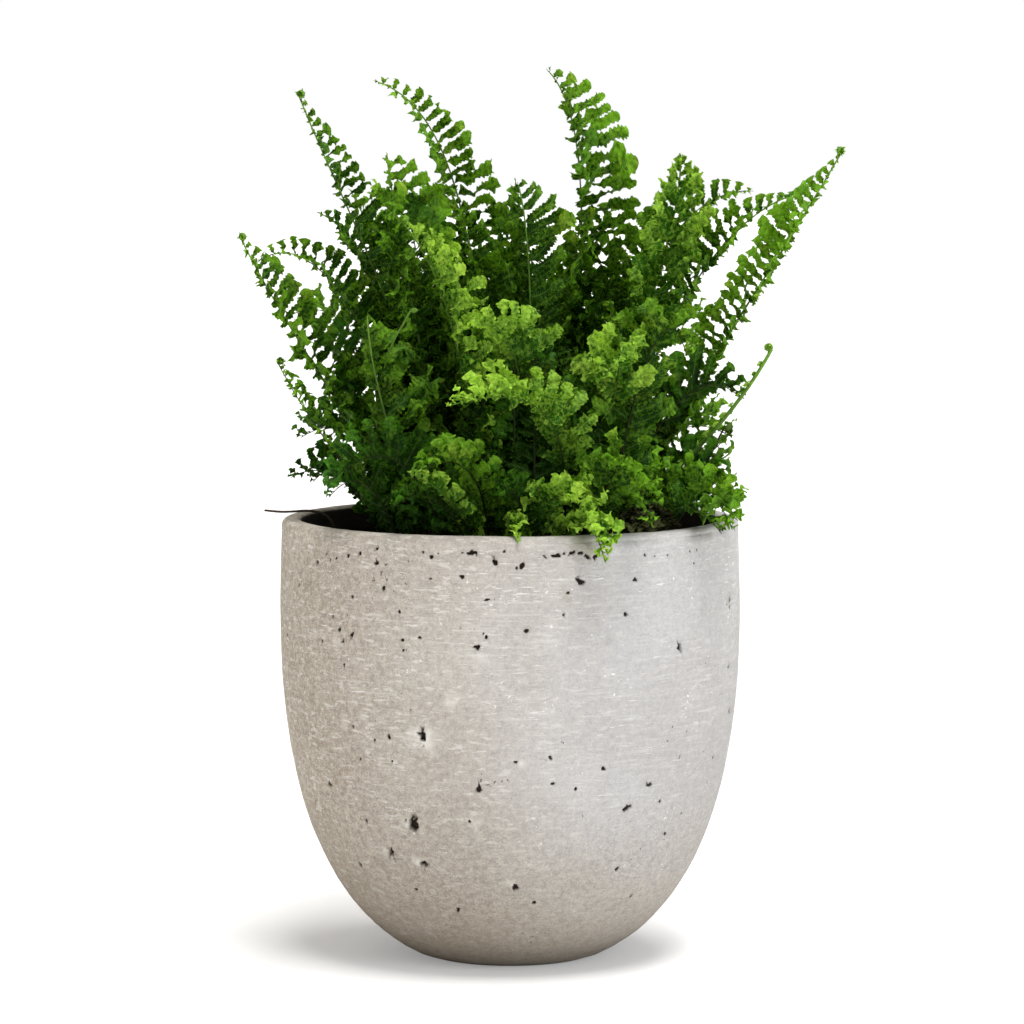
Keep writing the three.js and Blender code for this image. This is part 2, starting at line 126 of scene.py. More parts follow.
def add_light(name, kind, place, target, power, colour):
    data = bpy.data.lights.new(name, kind)
    data.energy = power
    data.color = colour
    light = bpy.data.objects.new(name, data)
    light.location = place
    light.rotation_euler = (Vector(target) - Vector(place)).to_track_quat("-Z", "Y").to_euler()
    bpy.context.scene.collection.objects.link(light)
    return data


# Camera


def camera_place():
    back = Vector((0, -math.cos(CAMERA_PITCH), math.sin(CAMERA_PITCH)))
    return CAMERA_TARGET + CAMERA_DISTANCE * back


def make_camera():
    data = bpy.data.cameras.new("photo_camera")
    data.sensor_fit = "HORIZONTAL"
    data.sensor_width = SENSOR
    data.lens = FOCAL_PIXELS / FRAME_PIXELS * SENSOR
    data.clip_end = 50
    camera = bpy.data.objects.new("photo_camera", data)
    camera.location = camera_place()
    camera.rotation_euler = (math.pi / 2 - CAMERA_PITCH, 0, 0)
    bpy.context.scene.collection.objects.link(camera)
    bpy.context.scene.camera = camera


# Lights and floor


def make_studio():
    """White all round for the camera, and softer light from it on the plant."""
    scene = bpy.context.scene
    scene.view_settings.view_transform = "Standard"
    world = bpy.data.worlds.new("studio")
    world.use_nodes = True
    nodes, links = world.node_tree.nodes, world.node_tree.links
    seen = nodes["Background"]
    seen.inputs["Color"].default_value = (1, 1, 1, 1)
    seen.inputs["Strength"].default_value = 1.0
    cast = nodes.new("ShaderNodeBackground")
    cast.inputs["Color"].default_value = SKY_COLOUR
    cast.inputs["Strength"].default_value = SKY_POWER
    ray = nodes.new("ShaderNodeLightPath")
    both = nodes.new("ShaderNodeMixShader")
    links.new(ray.outputs["Is Camera Ray"], both.inputs[0])
    links.new(cast.outputs[0], both.inputs[1])
    links.new(seen.outputs[0], both.inputs[2])
    links.new(both.outputs[0], nodes["World Output"].inputs["Surface"])
    scene.world = world
    for name, place, power, width in SUNS:
        add_light(name, "SUN", place, (0, 0, 0), power, SUN_COLOUR).angle = math.radians(width)
    fill = add_light("fill", "AREA", FILL_FROM, FILL_AT, FILL_POWER, FILL_COLOUR)
    fill.shape = "SQUARE"
    fill.size = FILL_SIZE
    corners = [(-FLOOR_REACH, -FLOOR_REACH, 0), (FLOOR_REACH, -FLOOR_REACH, 0)]
    corners += [(FLOOR_REACH, FLOOR_REACH, 0), (-FLOOR_REACH, FLOOR_REACH, 0)]
    floor = new_object("floor", corners, [(0, 1, 2, 3)], [floor_material()])


# Materials


class Nodes:
    """Short calls for building one material's node tree."""

    def __init__(self, name):
        self.material = bpy.data.materials.new(name)
        self.material.use_nodes = True
        self.tree = self.material.node_tree
        self.shader = self.tree.nodes["Principled BSDF"]
        self.output = self.tree.nodes["Material Output"]

    def link(self, source, target):
        self.tree.links.new(source, target)

    def set(self, node, values):
        for key, value in values.items():
            socket = node.inputs[key]
            if hasattr(value, "is_output"):
                self.link(value, socket)
            elif socket.type == "RGBA":
                socket.default_value = (*value, 1)
            else:
                socket.default_value = value
        return node

    def node(self, kind, values=None, **settings):
        node = self.tree.nodes.new(kind)
        for key, value in settings.items():
            setattr(node, key, value)
        return self.set(node, values or {})

    def math(self, operation, *values, clamp=False):
        node = self.node("ShaderNodeMath", operation=operation, use_clamp=clamp)
        return self.set(node, dict(enumerate(values))).outputs[0]

    def noise(self, vector, scale, detail=4.0, roughness=0.5):
        values = {"Vector": vector, "Scale": scale, "Detail": detail, "Roughness": roughness}
        return self.node("ShaderNodeTexNoise", values).outputs["Fac"]

    def stretched(self, vector, scale):
        return self.node("ShaderNodeMapping", {"Vector": vector, "Scale": scale}).outputs["Vector"]

    def range(self, value, low, high, out_low=0.0, out_high=1.0):
        values = {"Value": value, "From Min": low, "From Max": high, "To Min": out_low, "To Max": out_high}
        return self.node("ShaderNodeMapRange", values).outputs["Result"]

    def mix(self, factor, first, second, blend="MIX"):
        node = self.node("ShaderNodeMix", data_type="RGBA", blend_type=blend)
        self.set(node, {0: factor, 6: first, 7: second})
        return node.outputs[2]

    def add(self, *values):
        total = values[0]
        for value in values[1:]:
            total = self.math("ADD", total, value)
        return total

    def times(self, first, second):
        return self.math("MULTIPLY", first, second)

    def bump(self, height, strength, distance):
        values = {"Height": height, "Strength": strength, "Distance": distance}
        return self.node("ShaderNodeBump", values).outputs["Normal"]

    def place(self):
        return self.node("ShaderNodeTexCoord").outputs["Object"]

    def layer(self, name):
        attribute = self.node("ShaderNodeAttribute", attribute_name=name)
        split = self.node("ShaderNodeSeparateColor", {"Color": attribute.outputs["Color"]})
        return split.outputs

    def surface(self, tone, roughness, specular, normal=None):
        """Sets the shader's sockets."""
        values = {"Base Color": tone, "Roughness": roughness, "Specular IOR Level": specular}
        if normal is not None:
            values["Normal"] = normal
        self.set(self.shader, values)

    def blend(self, share, other):
        """Shows a share of another shader in place of the first."""
        both = self.node("ShaderNodeMixShader", {0: share, 1: self.shader.outputs[0], 2: other.outputs[0]})
        self.link(both.outputs[0], self.output.inputs["Surface"])


def floor_material():
    made = Nodes("floor")
    grain = made.noise(made.place(), 3.0)
    made.surface(made.mix(made.range(grain, 0.3, 0.7), (0.93, 0.93, 0.93), (0.95, 0.95, 0.95)), 0.9, 0.2)
    white = made.node("ShaderNodeEmission", {"Color": (1, 1, 1), "Strength": 1.0})
    ray = made.node("ShaderNodeLightPath")
    made.blend(made.times(ray.outputs["Is Camera Ray"], FLOOR_WHITE), white)
    return made.material


def concrete_material():
    """Layer red is the painted shade in a pit, green a green-brown stain, blue a pale spot of wear."""
    made = Nodes("concrete")
    place = made.place()
    split = made.node("ShaderNodeSeparateXYZ", {"Vector": place})
    height = split.outputs["Z"]
    square = [made.math("POWER", split.outputs[axis], 2.0) for axis in "XY"]
    radius = made.math("SQRT", made.add(*square))
    cloud = made.noise(place, 15, 4, 0.55)
    mottle = made.noise(place, 420, 5, 0.65)
    grain = made.noise(place, 1500, 3, 0.6)
    drawn = made.noise(made.stretched(place, (45, 45, 800)), 1.0, 4, 0.6)
    scratches = made.noise(made.stretched(place, (130, 130, 1500)), 1.0, 2, 0.45)
    scratched = made.noise(place, 26, 3, 0.6)
    nicks = made.noise(made.stretched(place, (170, 170, 640)), 1.0, 3, 0.55)
    swirl = made.node("ShaderNodeTexNoise", {"Vector": place, "Scale": 700}).outputs["Color"]
    bent = made.mix(0.0035, place, swirl)
    pores = made.node("ShaderNodeTexVoronoi", {"Vector": bent, "Scale": 260}, feature="F1")
    pore_size = made.noise(place, 45, 2, 0.5)
    pore = made.math("LESS_THAN", pores.outputs["Distance"], made.range(pore_size, 0.50, 0.72, 0.0, 0.16))
    flecks = made.node("ShaderNodeTexVoronoi", {"Vector": bent, "Scale": 330}, feature="F1")
    fleck_size = made.noise(place, 60, 2, 0.5)
    fleck_size = made.range(fleck_size, 0.46, 0.72, 0.0, 0.20)
    fleck = made.math("LESS_THAN", flecks.outputs["Distance"], fleck_size)
    pit_shade_and_marks = made.layer("pit")

    left = made.range(split.outputs["X"], 0.045, -0.085)
    far_left = made.math("POWER", left, 2.2)
    low = made.range(height, 0.080, 0.015, 0, 0.8)
    coarse = made.math("ADD", made.range(far_left, 0, 1, 0.30, 1.0), low, clamp=True)
    high = made.range(height, 0.02, 0.12, 0.3, 1.0)
    upper = made.times(high, made.range(scratched, 0.40, 0.60, 0.15, 1.0))
    nicked = made.range(left, 0, 1, 0.3, 1.0)
    # The inner wall below the rim, where painted shadow goes
    shaded_inner_wall = made.times(made.range(radius, 0.0880, 0.0870), made.range(height, 0.1806, 0.1798))
    # Both base tones turn darker and browner towards the left: painted shade on the side away from the key
    # light
    light = made.mix(left, (0.421, 0.414, 0.418), (0.420, 0.370, 0.308))
    dark = made.mix(left, (0.370, 0.355, 0.350), (0.350, 0.294, 0.234))
    tone = made.mix(made.range(cloud, 0.36, 0.64), dark, light)
    # Tones laid over the first one, in turn: share, where it shows, colour
    tones = [
        (made.range(mottle, 0.46, 0.64, 0, 0.54), coarse, (0.62, 0.58, 0.51)),
        (made.range(mottle, 0.48, 0.33, 0, 0.54), coarse, (0.230, 0.200, 0.160)),
        (made.range(grain, 0.55, 0.68, 0, 0.60), coarse, (0.74, 0.70, 0.62)),
        (made.range(grain, 0.45, 0.32, 0, 0.60), coarse, (0.17, 0.145, 0.115)),
        (made.range(drawn, 0.54, 0.72, 0, 0.45), upper, (0.66, 0.65, 0.63)),
        (made.range(drawn, 0.42, 0.30, 0, 0.30), upper, (0.30, 0.28, 0.25)),
        (made.range(scratches, 0.66, 0.73, 0, 0.65), upper, (0.80, 0.79, 0.77)),
        (made.range(nicks, 0.58, 0.66, 0, 0.55), nicked, (0.74, 0.72, 0.69)),
        (made.range(nicks, 0.38, 0.30, 0, 0.45), nicked, (0.24, 0.21, 0.18)),
        (0.6, fleck, (0.82, 0.80, 0.76)),
        # Darker and browner towards the bottom
        (0.75, made.range(height, 0.080, 0.0), (0.20, 0.160, 0.110)),
        # Painted shade: the rounded rim a little darker
        (0.12, made.range(height, 0.1765, 0.1800), (0.24, 0.225, 0.20)),
        (0.7, pit_shade_and_marks["Blue"], (0.76, 0.74, 0.70)),
        (0.75, pit_shade_and_marks["Green"], (0.22, 0.21, 0.09)),
        # Painted shade: the pores turn dark, besides their dip in the bump
        (0.8, pore, (0.10, 0.08, 0.06)),
        # Painted shade in the pits, from layer red
        (1, made.range(pit_shade_and_marks["Red"], 0.12, 0.62), (0.03, 0.022, 0.016)),
        # Painted shadow: the inner wall above the soil turns very dark
        (made.range(height, 0.155, 0.160, 0, 0.98), shaded_inner_wall, (0.016, 0.011, 0.006)),
    ]
    for share, where, colour in tones:
        tone = made.mix(made.times(share, where), tone, colour)

    cut = made.range(scratches, 0.62, 0.70, 0, 0.5)
    relief = made.add(made.times(mottle, 0.8), made.times(grain, 0.45), made.times(drawn, 0.5), cut)
    relief = made.add(relief, made.times(pore, -0.7))
    made.surface(tone, made.range(mottle, 0.3, 0.7, 0.82, 0.96), 0.2, made.bump(relief, 0.6, 0.0006))
    return made.material


def soil_material():
    made = Nodes("soil")
    place = made.place()
    crumbs = made.noise(place, 330, 5, 0.7)
    patches = made.noise(place, 60, 3, 0.5)
    tone = made.mix(made.range(crumbs, 0.35, 0.7), (0.010, 0.007, 0.004), (0.07, 0.045, 0.026))
    tone = made.mix(made.range(patches, 0.5, 0.7, 0, 0.5), tone, (0.09, 0.075, 0.03))
    made.surface(tone, 0.95, 0.2, made.bump(crumbs, 0.9, 0.0015))
    return made.material


def moss_material():
    made = Nodes("moss")
    place = made.place()
    patches = made.noise(place, 120, 4, 0.6)
    fibres = made.noise(made.stretched(place, (500, 500, 1600)), 1.0, 3, 0.6)
    tone = made.mix(made.range(patches, 0.35, 0.65), (0.024, 0.024, 0.008), (0.060, 0.076, 0.018))
    tone = made.mix(made.range(fibres, 0.45, 0.7, 0, 0.6), tone, (0.115, 0.110, 0.042))
    made.surface(tone, 0.9, 0.2, made.bump(fibres, 0.6, 0.0006))
    return made.material


def bark_material():
    made = Nodes("runner")
    place = made.place()
    strands = made.noise(made.stretched(place, (300, 1200, 1200)), 1.0, 4, 0.6)
    tone = made.mix(made.range(strands, 0.35, 0.65), (0.018, 0.012, 0.008), (0.075, 0.05, 0.03))
    made.surface(tone, 0.85, 0.5, made.bump(strands, 0.7, 0.0004))
    return made.material


# The oldest and most shaded, and the youngest and best lit colour of each kind of leaf, and of bluish patches
# of painted sky sheen
LEAF_TONES = {
    "dark": ((0.002, 0.022, 0.0004), (0.062, 0.200, 0.006)),
    "mid": ((0.003, 0.033, 0.0005), (0.190, 0.415, 0.021)),
    "bright": ((0.009, 0.080, 0.0012), (0.430, 0.710, 0.072)),
}
SHEEN_TONES = ((0.008, 0.060, 0.014), (0.085, 0.290, 0.075))


def leaf_material(name):
    """Layer red is the spot's youth together with painted light and shade: darker near the heart of the
    crown, at each leaflet's foot and in the notches between lobes, lighter on the lobes; green is 0 at the
    midrib and 1 at the margin, blue runs along.
    """
    made = Nodes(f"leaf_{name}")
    place = made.place()
    layer = made.layer("leaf")
    young_and_lit, across, along = layer["Red"], layer["Green"], layer["Blue"]
    old_and_shaded_tone, young_and_lit_tone = LEAF_TONES[name]
    blotch = made.noise(place, 110, 4, 0.6)
    cells = made.noise(place, 1400, 3, 0.6)
    crinkle = made.noise(place, 620, 3, 0.6)
    age_and_shade = made.math("ADD", young_and_lit, made.range(blotch, 0.3, 0.7, -0.25, 0.25))
    age_and_shade = made.math("ADD", age_and_shade, made.range(crinkle, 0.3, 0.7, -0.48, 0.40), clamp=True)
    tone = made.mix(age_and_shade, old_and_shaded_tone, young_and_lit_tone)
    # Bluish patches of painted sky sheen
    painted_sheen = made.range(made.noise(place, 38, 3, 0.55), 0.54, 0.68, 0, 0.38)
    tone = made.mix(painted_sheen, tone, made.mix(age_and_shade, *SHEEN_TONES))
    # Pale yellowish patches on the younger parts: partly yellowed leaf, partly painted highlight
    pale = made.range(made.noise(place, 70, 3, 0.6), 0.56, 0.70, 0, 0.55)
    pale = made.times(pale, age_and_shade)
    tone = made.mix(pale, tone, made.mix(0.6, young_and_lit_tone, (0.60, 0.66, 0.10)))
    phase = made.times(along, 4 * math.pi * MOST_LOBES)
    veins = made.math("SINE", made.math("ADD", phase, made.times(across, -14)))
    vein = made.times(made.range(veins, 0.55, 1.0), made.range(across, 0.0, 0.8, 0.3, 0.1))
    tone = made.mix(vein, tone, made.mix(0.5, young_and_lit_tone, (0.36, 0.52, 0.12)))
    midrib = made.range(across, 0.13, 0.02, 0, 0.25)
    tone = made.mix(midrib, tone, made.mix(0.6, young_and_lit_tone, (0.20, 0.33, 0.06)))
    margin = made.range(across, 0.8, 1.0, 0, 0.35)
    tone = made.mix(margin, tone, young_and_lit_tone)
    normal = made.bump(made.add(made.times(veins, 0.35), cells), 0.55, 0.0006)
    made.surface(tone, made.range(blotch, 0.3, 0.7, 0.40, 0.60), 0.07, normal)
    through = made.mix(1.0, tone, (0.86, 1.0, 0.32), "MULTIPLY")
    made.blend(0.32, made.node("ShaderNodeBsdfTranslucent", {"Color": through, "Normal": normal}))
    return made.material


def rib_material():
    made = Nodes("rib")
    place = made.place()
    fuzz = made.noise(place, 900, 3, 0.6)
    patch = made.noise(place, 160, 3, 0.6)
    green = made.range(made.layer("leaf")["Blue"], 0.25, 1.0)
    tone = made.mix(green, (0.014, 0.024, 0.005), (0.11, 0.24, 0.026))
    tone = made.mix(made.range(patch, 0.5, 0.75, 0, 0.4), tone, (0.10, 0.07, 0.03))
    made.surface(tone, 0.6, 0.12, made.bump(fuzz, 0.5, 0.0003))
    return made.material


# Planter


def bowl_radius(z, inset=0.0):
    if z >= WIDEST_AT:
        rise = (z - WIDEST_AT) / (POT_HEIGHT - WIDEST_AT)
        return POT_RADIUS - inset - rise * (POT_RADIUS - RIM_RADIUS)
    fall = ((WIDEST_AT - z) / (BOWL_DEPTH - inset)) ** BOWL_POWER
    return (POT_RADIUS - inset) * (1 - fall) ** (1 / BOWL_POWER)


def arc(centre_r, centre_z, radius, start, end, steps):
    turns = [math.radians(start + (end - start) * i / steps) for i in range(steps + 1)]
    return [(centre_r + radius * math.cos(a), centre_z + radius * math.sin(a)) for a in turns]


def even_profile(points, step):
    """The same line with points about a step apart."""
    out = [points[0]]
    for (r0, z0), (r1, z1) in zip(points, points[1:]):
        count = max(1, round(math.hypot(r1 - r0, z1 - z0) / step))
        out += [(r0 + (r1 - r0) * k / count, z0 + (z1 - z0) * k / count) for k in range(1, count + 1)]
    return out


def spin(profile, sides):
    """Vertices and faces of a surface of revolution whose profile starts and ends on the axis."""
    turns = np.arange(sides) * 2 * math.pi / sides
    ring = np.array(profile[1:-1])
    r, z = ring[:, :1], ring[:, 1:]
    body = np.stack([r * np.cos(turns), r * np.sin(turns), z + 0 * turns], -1).reshape(-1, 3)
    first, last = (0, 0, profile[0][1]), (0, 0, profile[-1][1])
    vertices = np.vstack([[first], body, [last]])
    faces = []
    rings = len(ring)
    for j in range(sides):
        k = (j + 1) % sides
        faces.append((0, 1 + k, 1 + j))
        faces.append((len(vertices) - 1, 1 + (rings - 1) * sides + j, 1 + (rings - 1) * sides + k))
    for i in range(rings - 1):
        a, b = 1 + i * sides, 1 + (i + 1) * sides
        faces += [(a + j, a + (j + 1) % sides, b + (j + 1) % sides, b + j) for j in range(sides)]
    return vertices, faces


# Pits that the photo shows: pixel x and y, radius in mm, width to height where that isn't 1, and depth in mm
# where that isn't the radius
PITS = [
    (317, 562, 0.8), (348, 556, 0.7, 1.2), (360, 553, 0.7), (377, 549, 0.6, 1.3), (377, 563, 0.7, 1.0, 0.8),
    (431, 557, 0.8, 1.4), (472, 553, 1.1, 1.8, 1.2), (495, 563, 1.1, 0.8, 1.2), (462, 577, 0.8, 1.2),
    (383, 588, 0.8, 0.8), (399, 612, 0.8), (339, 629, 0.8), (343, 641, 0.7, 1.0, 0.8),
    (352, 635, 0.7, 0.7, 0.8), (402, 640, 0.7, 1.0, 0.8), (420, 638, 0.6, 1.2), (486, 637, 0.9, 0.9),
    (477, 647, 1.0, 1.3, 0.9), (423, 737, 1.7, 0.7, 1.6), (389, 737, 0.7, 1.0, 0.8),
    (374, 740, 0.6, 1.0, 0.7), (522, 566, 0.9, 1.2), (581, 582, 1.4, 1.3, 1.3), (556, 556, 1.0, 2.8),
    (572, 553, 1.0, 2.6), (588, 557, 0.9, 2.4, 1.0), (635, 580, 0.8, 1.2), (626, 614, 0.7),
    (564, 615, 0.6, 1.2), (526, 631, 0.7), (680, 647, 1.4, 0.35, 1.2), (730, 600, 1.3, 0.8, 1.0),
    (366, 821, 0.7, 1.0, 0.8), (413, 825, 2.1, 0.8, 1.9), (391, 852, 1.6, 0.7), (424, 864, 1.6, 1.5),
    (360, 865, 0.9), (478, 790, 0.9, 0.8), (329, 784, 0.8), (416, 890, 0.7, 1.0, 0.8),
    (516, 888, 1.2, 0.9, 1.1), (534, 903, 0.8), (458, 910, 0.7), (627, 808, 1.4, 1.5, 0.9), (603, 769, 0.8),
    (550, 758, 0.7), (651, 785, 0.7), (617, 870, 0.8), (665, 834, 0.7), (631, 896, 0.7), (553, 784, 0.6),
    (576, 789, 0.6, 1.2), (544, 556, 0.5, 1.4), (564, 554, 0.6, 2.0), (580, 553, 0.7, 1.6),
    (596, 556, 0.9, 2.4), (645, 555, 0.4, 2.0), (655, 556, 0.4, 2.0), (668, 555, 0.4, 2.4),
    (690, 551, 0.5, 1.2), (697, 550, 0.4), (694, 564, 0.4), (568, 593, 0.6, 1.2, 0.5), (487, 600, 0.6, 3.5),
    (462, 553, 0.4), (423, 552, 0.4), (505, 552, 0.4), (330, 560, 0.4, 1.4), (299, 585, 0.6),
    (352, 597, 0.6), (403, 650, 0.5), (322, 641, 0.7), (333, 616, 0.6), (344, 665, 0.4),
    (431, 579, 0.5, 1.6), (516, 568, 0.5), (326, 554, 0.5, 1.2), (336, 558, 0.4), (408, 562, 0.4),
    (438, 554, 0.4), (347, 615, 0.4), (353, 727, 0.5), (315, 801, 0.5, 0.8), (303, 762, 0.5, 1.3),
    (360, 759, 0.4), (392, 761, 0.4), (516, 762, 0.5, 2.0), (687, 732, 0.5), (713, 757, 0.4),
    (707, 782, 0.4), (667, 897, 0.4), (660, 801, 0.4), (680, 756, 0.4), (470, 822, 0.5, 1.6),
]
PIT_CUTS = 5
PIT_DEEPEN = 1.5

# Pits that a seeded rule places round the rest of the planter: count, directions in degrees, heights
OTHER_PITS = 120
OTHER_TURNS = (-20, 200)
OTHER_HEIGHTS = (0.012, 0.172)

# Soft marks that the photo shows: pixel x and y, radius in mm, strength
STAINS = [
    (580, 541, 5.5, 0.55), (592, 550, 3.5, 0.7), (566, 596, 2.8, 0.4), (526, 631, 2.0, 0.35),
    (730, 600, 2.6, 0.45), (710, 536, 3.0, 0.45), (619, 706, 1.8, 0.25),
]
PALE_MARKS = [
    (424, 739, 6.0, 0.9), (412, 735, 3.0, 0.8), (450, 702, 4.0, 0.7), (406, 825, 2.2, 0.7),
    (384, 850, 2.2, 0.6), (417, 862, 2.4, 0.8), (512, 884, 2.2, 0.5), (345, 722, 3.0, 0.5),
    (476, 824, 2.6, 0.6), (521, 764, 2.4, 0.5), (336, 642, 3.6, 0.6), (314, 634, 3.0, 0.5),
    (302, 618, 2.6, 0.5), (484, 660, 3.0, 0.4),
]


def on_pot(pixel_x, pixel_y):
    """Where a photo pixel's sight line meets the planter's outer wall."""
    eye = camera_place()
    forward = (CAMERA_TARGET - eye).normalized()
    right = Vector((1, 0, 0))
    up = right.cross(forward)
    across, down = ((pixel - FRAME_PIXELS / 2) / FOCAL_PIXELS for pixel in (pixel_x, pixel_y))
    ray = (forward + across * right - down * up).normalized()
    near, far = CAMERA_DISTANCE - 0.15, CAMERA_DISTANCE
    for _ in range(40):
        middle = (near + far) / 2
        point = eye + middle * ray
        inside = 0 < point.z < POT_HEIGHT and math.hypot(point.x, point.y) < bowl_radius(point.z)
        near, far = (near, middle) if inside else (middle, far)
    return eye + far * ray


def shown_pit(x, y, radius, stretch=1.0, depth=None):
    return on_pot(x, y), radius * MM, (depth or radius) * MM, stretch


def pit_list():
    """Place, radius, depth and stretch of every modelled pit, round the whole planter."""
    pits = [shown_pit(*row) for row in PITS]
    rng = np.random.RandomState(5)
    while len(pits) < len(PITS) + OTHER_PITS:
        turn = math.radians(rng.uniform(*OTHER_TURNS))
        z = rng.uniform(*OTHER_HEIGHTS)
        if rng.rand() > 0.35 + 0.65 * (z / POT_HEIGHT) ** 2:
            continue
        r = bowl_radius(z)
        size = (0.5 + 1.1 * rng.rand() ** 3) * MM
        place = Vector((r * math.cos(turn), r * math.sin(turn), z))
        pits.append((place, size, 0.9 * size, rng.uniform(0.7, 1.8)))
    return pits


def make_pot():
    wall_top = POT_HEIGHT - RIM_ROUND
    foot = arc(bowl_radius(0.0) - FOOT_ROUND, FOOT_ROUND, FOOT_ROUND, -90, -35, 3)
    outside = [(bowl_radius(z), z) for z in np.linspace(FOOT_ROUND, wall_top, 60)]
    outer_rim = arc(RIM_RADIUS - RIM_ROUND, wall_top, RIM_ROUND, 0, 90, 6)
    inner_radius = RIM_RADIUS - WALL
    inner_rim = arc(inner_radius + INNER_ROUND, POT_HEIGHT - INNER_ROUND, INNER_ROUND, 90, 180, 5)
    inside = [(bowl_radius(z, WALL), z) for z in np.linspace(FINE_DOWN_TO, FLOOR, 16)]
    fine = [(FINE_FROM, 0), *foot, *outside, *outer_rim, *inner_rim, (inner_radius, FINE_DOWN_TO)]
    vertices, faces = spin([(0, 0), *even_profile(fine, GRID), *inside, (0, FLOOR)], POT_SIDES)
    pot = new_object("planter", vertices.tolist(), faces, [concrete_material()])
    mesh = pot.data
    bm = bmesh.new()
    bm.from_mesh(mesh)
    pits = pit_list()
    refine(bm, pits)
    dent(bm, pits)
    bm.normal_update()
    bm.to_mesh(mesh)
    bm.free()
    smooth_faces(mesh)
    dress(pot, "pot")


def refine(bm, pits):
    """Smaller faces where a pit goes."""
    bm.faces.ensure_lookup_table()
    centres = np.array([face.calc_center_median() for face in bm.faces])
    outward = np.hypot(centres[:, 0], centres[:, 1]) > POT_RADIUS - WALL - 0.001
    outward |= centres[:, 2] < 0.1
    edges = set()
    for place, size, _, stretch in pits:
        reach = size * max(1.0, stretch) + 0.0016
        near = np.flatnonzero((np.linalg.norm(centres - np.array(place), axis=1) < reach) & outward)
        for index in near:
            edges.update(bm.faces[index].edges)
    bmesh.ops.subdivide_edges(bm, edges=list(edges), cuts=PIT_CUTS, use_grid_fill=True)


def dent(bm, pits):
    """Presses the pits in, makes the wall uneven, and keeps the painted shade of the pits and the soft marks
    as a colour layer.
    """
    bm.normal_update()
    layer = bm.verts.layers.float_color.new("pit")
    vertices = list(bm.verts)
    places = np.array([vertex.co for vertex in vertices])
    normals = np.array([vertex.normal for vertex in vertices])
    depth = np.zeros(len(vertices))
    colours = np.zeros((len(vertices), 4))
    colours[:, 3] = 1
    rng = np.random.RandomState(8)
    for number, (place, size, deep, stretch) in enumerate(pits):
        offset = places - np.array(place)
        near = np.flatnonzero(np.linalg.norm(offset, axis=1) < 3.2 * size * max(1.0, stretch))
        side = Vector((-place.y, place.x, 0)).normalized()
        lean = rng.uniform(-0.5, 0.5)
        across = offset[near] @ np.array(side)
        across, along = across + lean * offset[near][:, 2], offset[near][:, 2] - lean * across
        across, along = across / (size * math.sqrt(stretch)), along * math.sqrt(stretch) / size
        wobble = np.array([noise.noise(Vector(places[i]) * 800 + Vector((number, 0, 0))) for i in near])
        distance = np.hypot(across, along) * (1 + 0.85 * wobble)
        share = np.clip((1.2 - distance) / 0.35, 0, 1)
        share = share * share * (3 - 2 * share)
        # How strong the painted shade in this pit is
        painted_pit_shade = rng.uniform(0.7, 1.0) if size < 0.00115 else 0.75
        depth[near] = np.maximum(depth[near], share * deep * PIT_DEEPEN)
        colours[near, 0] = np.maximum(colours[near, 0], painted_pit_shade * share)
    for channel, (x, y, size, strength) in [*((1, row) for row in STAINS), *((2, row) for row in PALE_MARKS)]:
        distance = np.linalg.norm(places - np.array(on_pot(x, y)), axis=1) / (size * MM)
        near = np.flatnonzero(distance < 1.4)
        wobble = np.array([noise.noise(Vector(places[i]) * 500) for i in near])
        share = np.clip(1.1 - distance[near] * (1 + 0.8 * wobble), 0, 1) * strength
        colours[near, channel] = np.maximum(colours[near, channel], share)
    for i, vertex in enumerate(vertices):
        place = vertex.co
        uneven = 0.00022 * noise.noise(place * 45) + 0.0001 * noise.noise(place * 160)
        if place.z < 0.001:
            uneven = 0
        vertex.co = place + Vector(normals[i]) * (uneven - depth[i])
        vertex[layer] = colours[i]


# Soil, moss and runner


def soil_height(x, y):
    r = math.hypot(x, y) / (POT_RADIUS - WALL)
    moss = math.exp(-((x - MOSS_CENTRE[0]) ** 2 + (y - MOSS_CENTRE[1]) ** 2) / (2 * MOSS_SPREAD ** 2))
    kept = min(1, (1 - r) * 12)
    return SOIL_EDGE + SOIL_MOUND * (1 - r * r) + MOSS_RISE * moss * kept


def make_soil():
    heights = np.linspace(FLOOR, SOIL_EDGE - 0.002, 14)
    wall = [(bowl_radius(z, WALL) - SEAT_GAP, z + SEAT_GAP) for z in heights]
    edge = wall[-1][0]
    top = [(edge * share, SOIL_EDGE) for share in np.linspace(0.995, 0.02, 52)]
    vertices, faces = spin([(0, FLOOR + SEAT_GAP), *wall, *top, (0, SOIL_EDGE)], 220)
    for vertex in vertices:
        if vertex[2] > SOIL_EDGE - 0.0005:
            x, y = vertex[0], vertex[1]
            place = Vector((x, y, 0))
            lumps = 0.0022 * noise.noise(place * 130) + 0.0013 * noise.noise(place * 420)
            vertex[2] = soil_height(x, y) + lumps
    soil = new_object("potting_soil", vertices.tolist(), faces, [soil_material()])
    dress(soil, "soil")


def flake(rng, place, size, lift):
    """A crinkled scrap of moss or dead leaf: five vertices round a raised middle."""
    turn = rng.uniform(0, 2 * math.pi)
    ring = []
    for k in range(5):
        a = turn + k * 2 * math.pi / 5
        r = size * rng.uniform(0.5, 1.0)
        x, y = place[0] + r * math.cos(a), place[1] + r * math.sin(a)
        ring.append((x, y, place[2] + lift * rng.uniform(-0.4, 1)))
    return [(place[0], place[1], place[2] + 0.4 * lift), *ring]


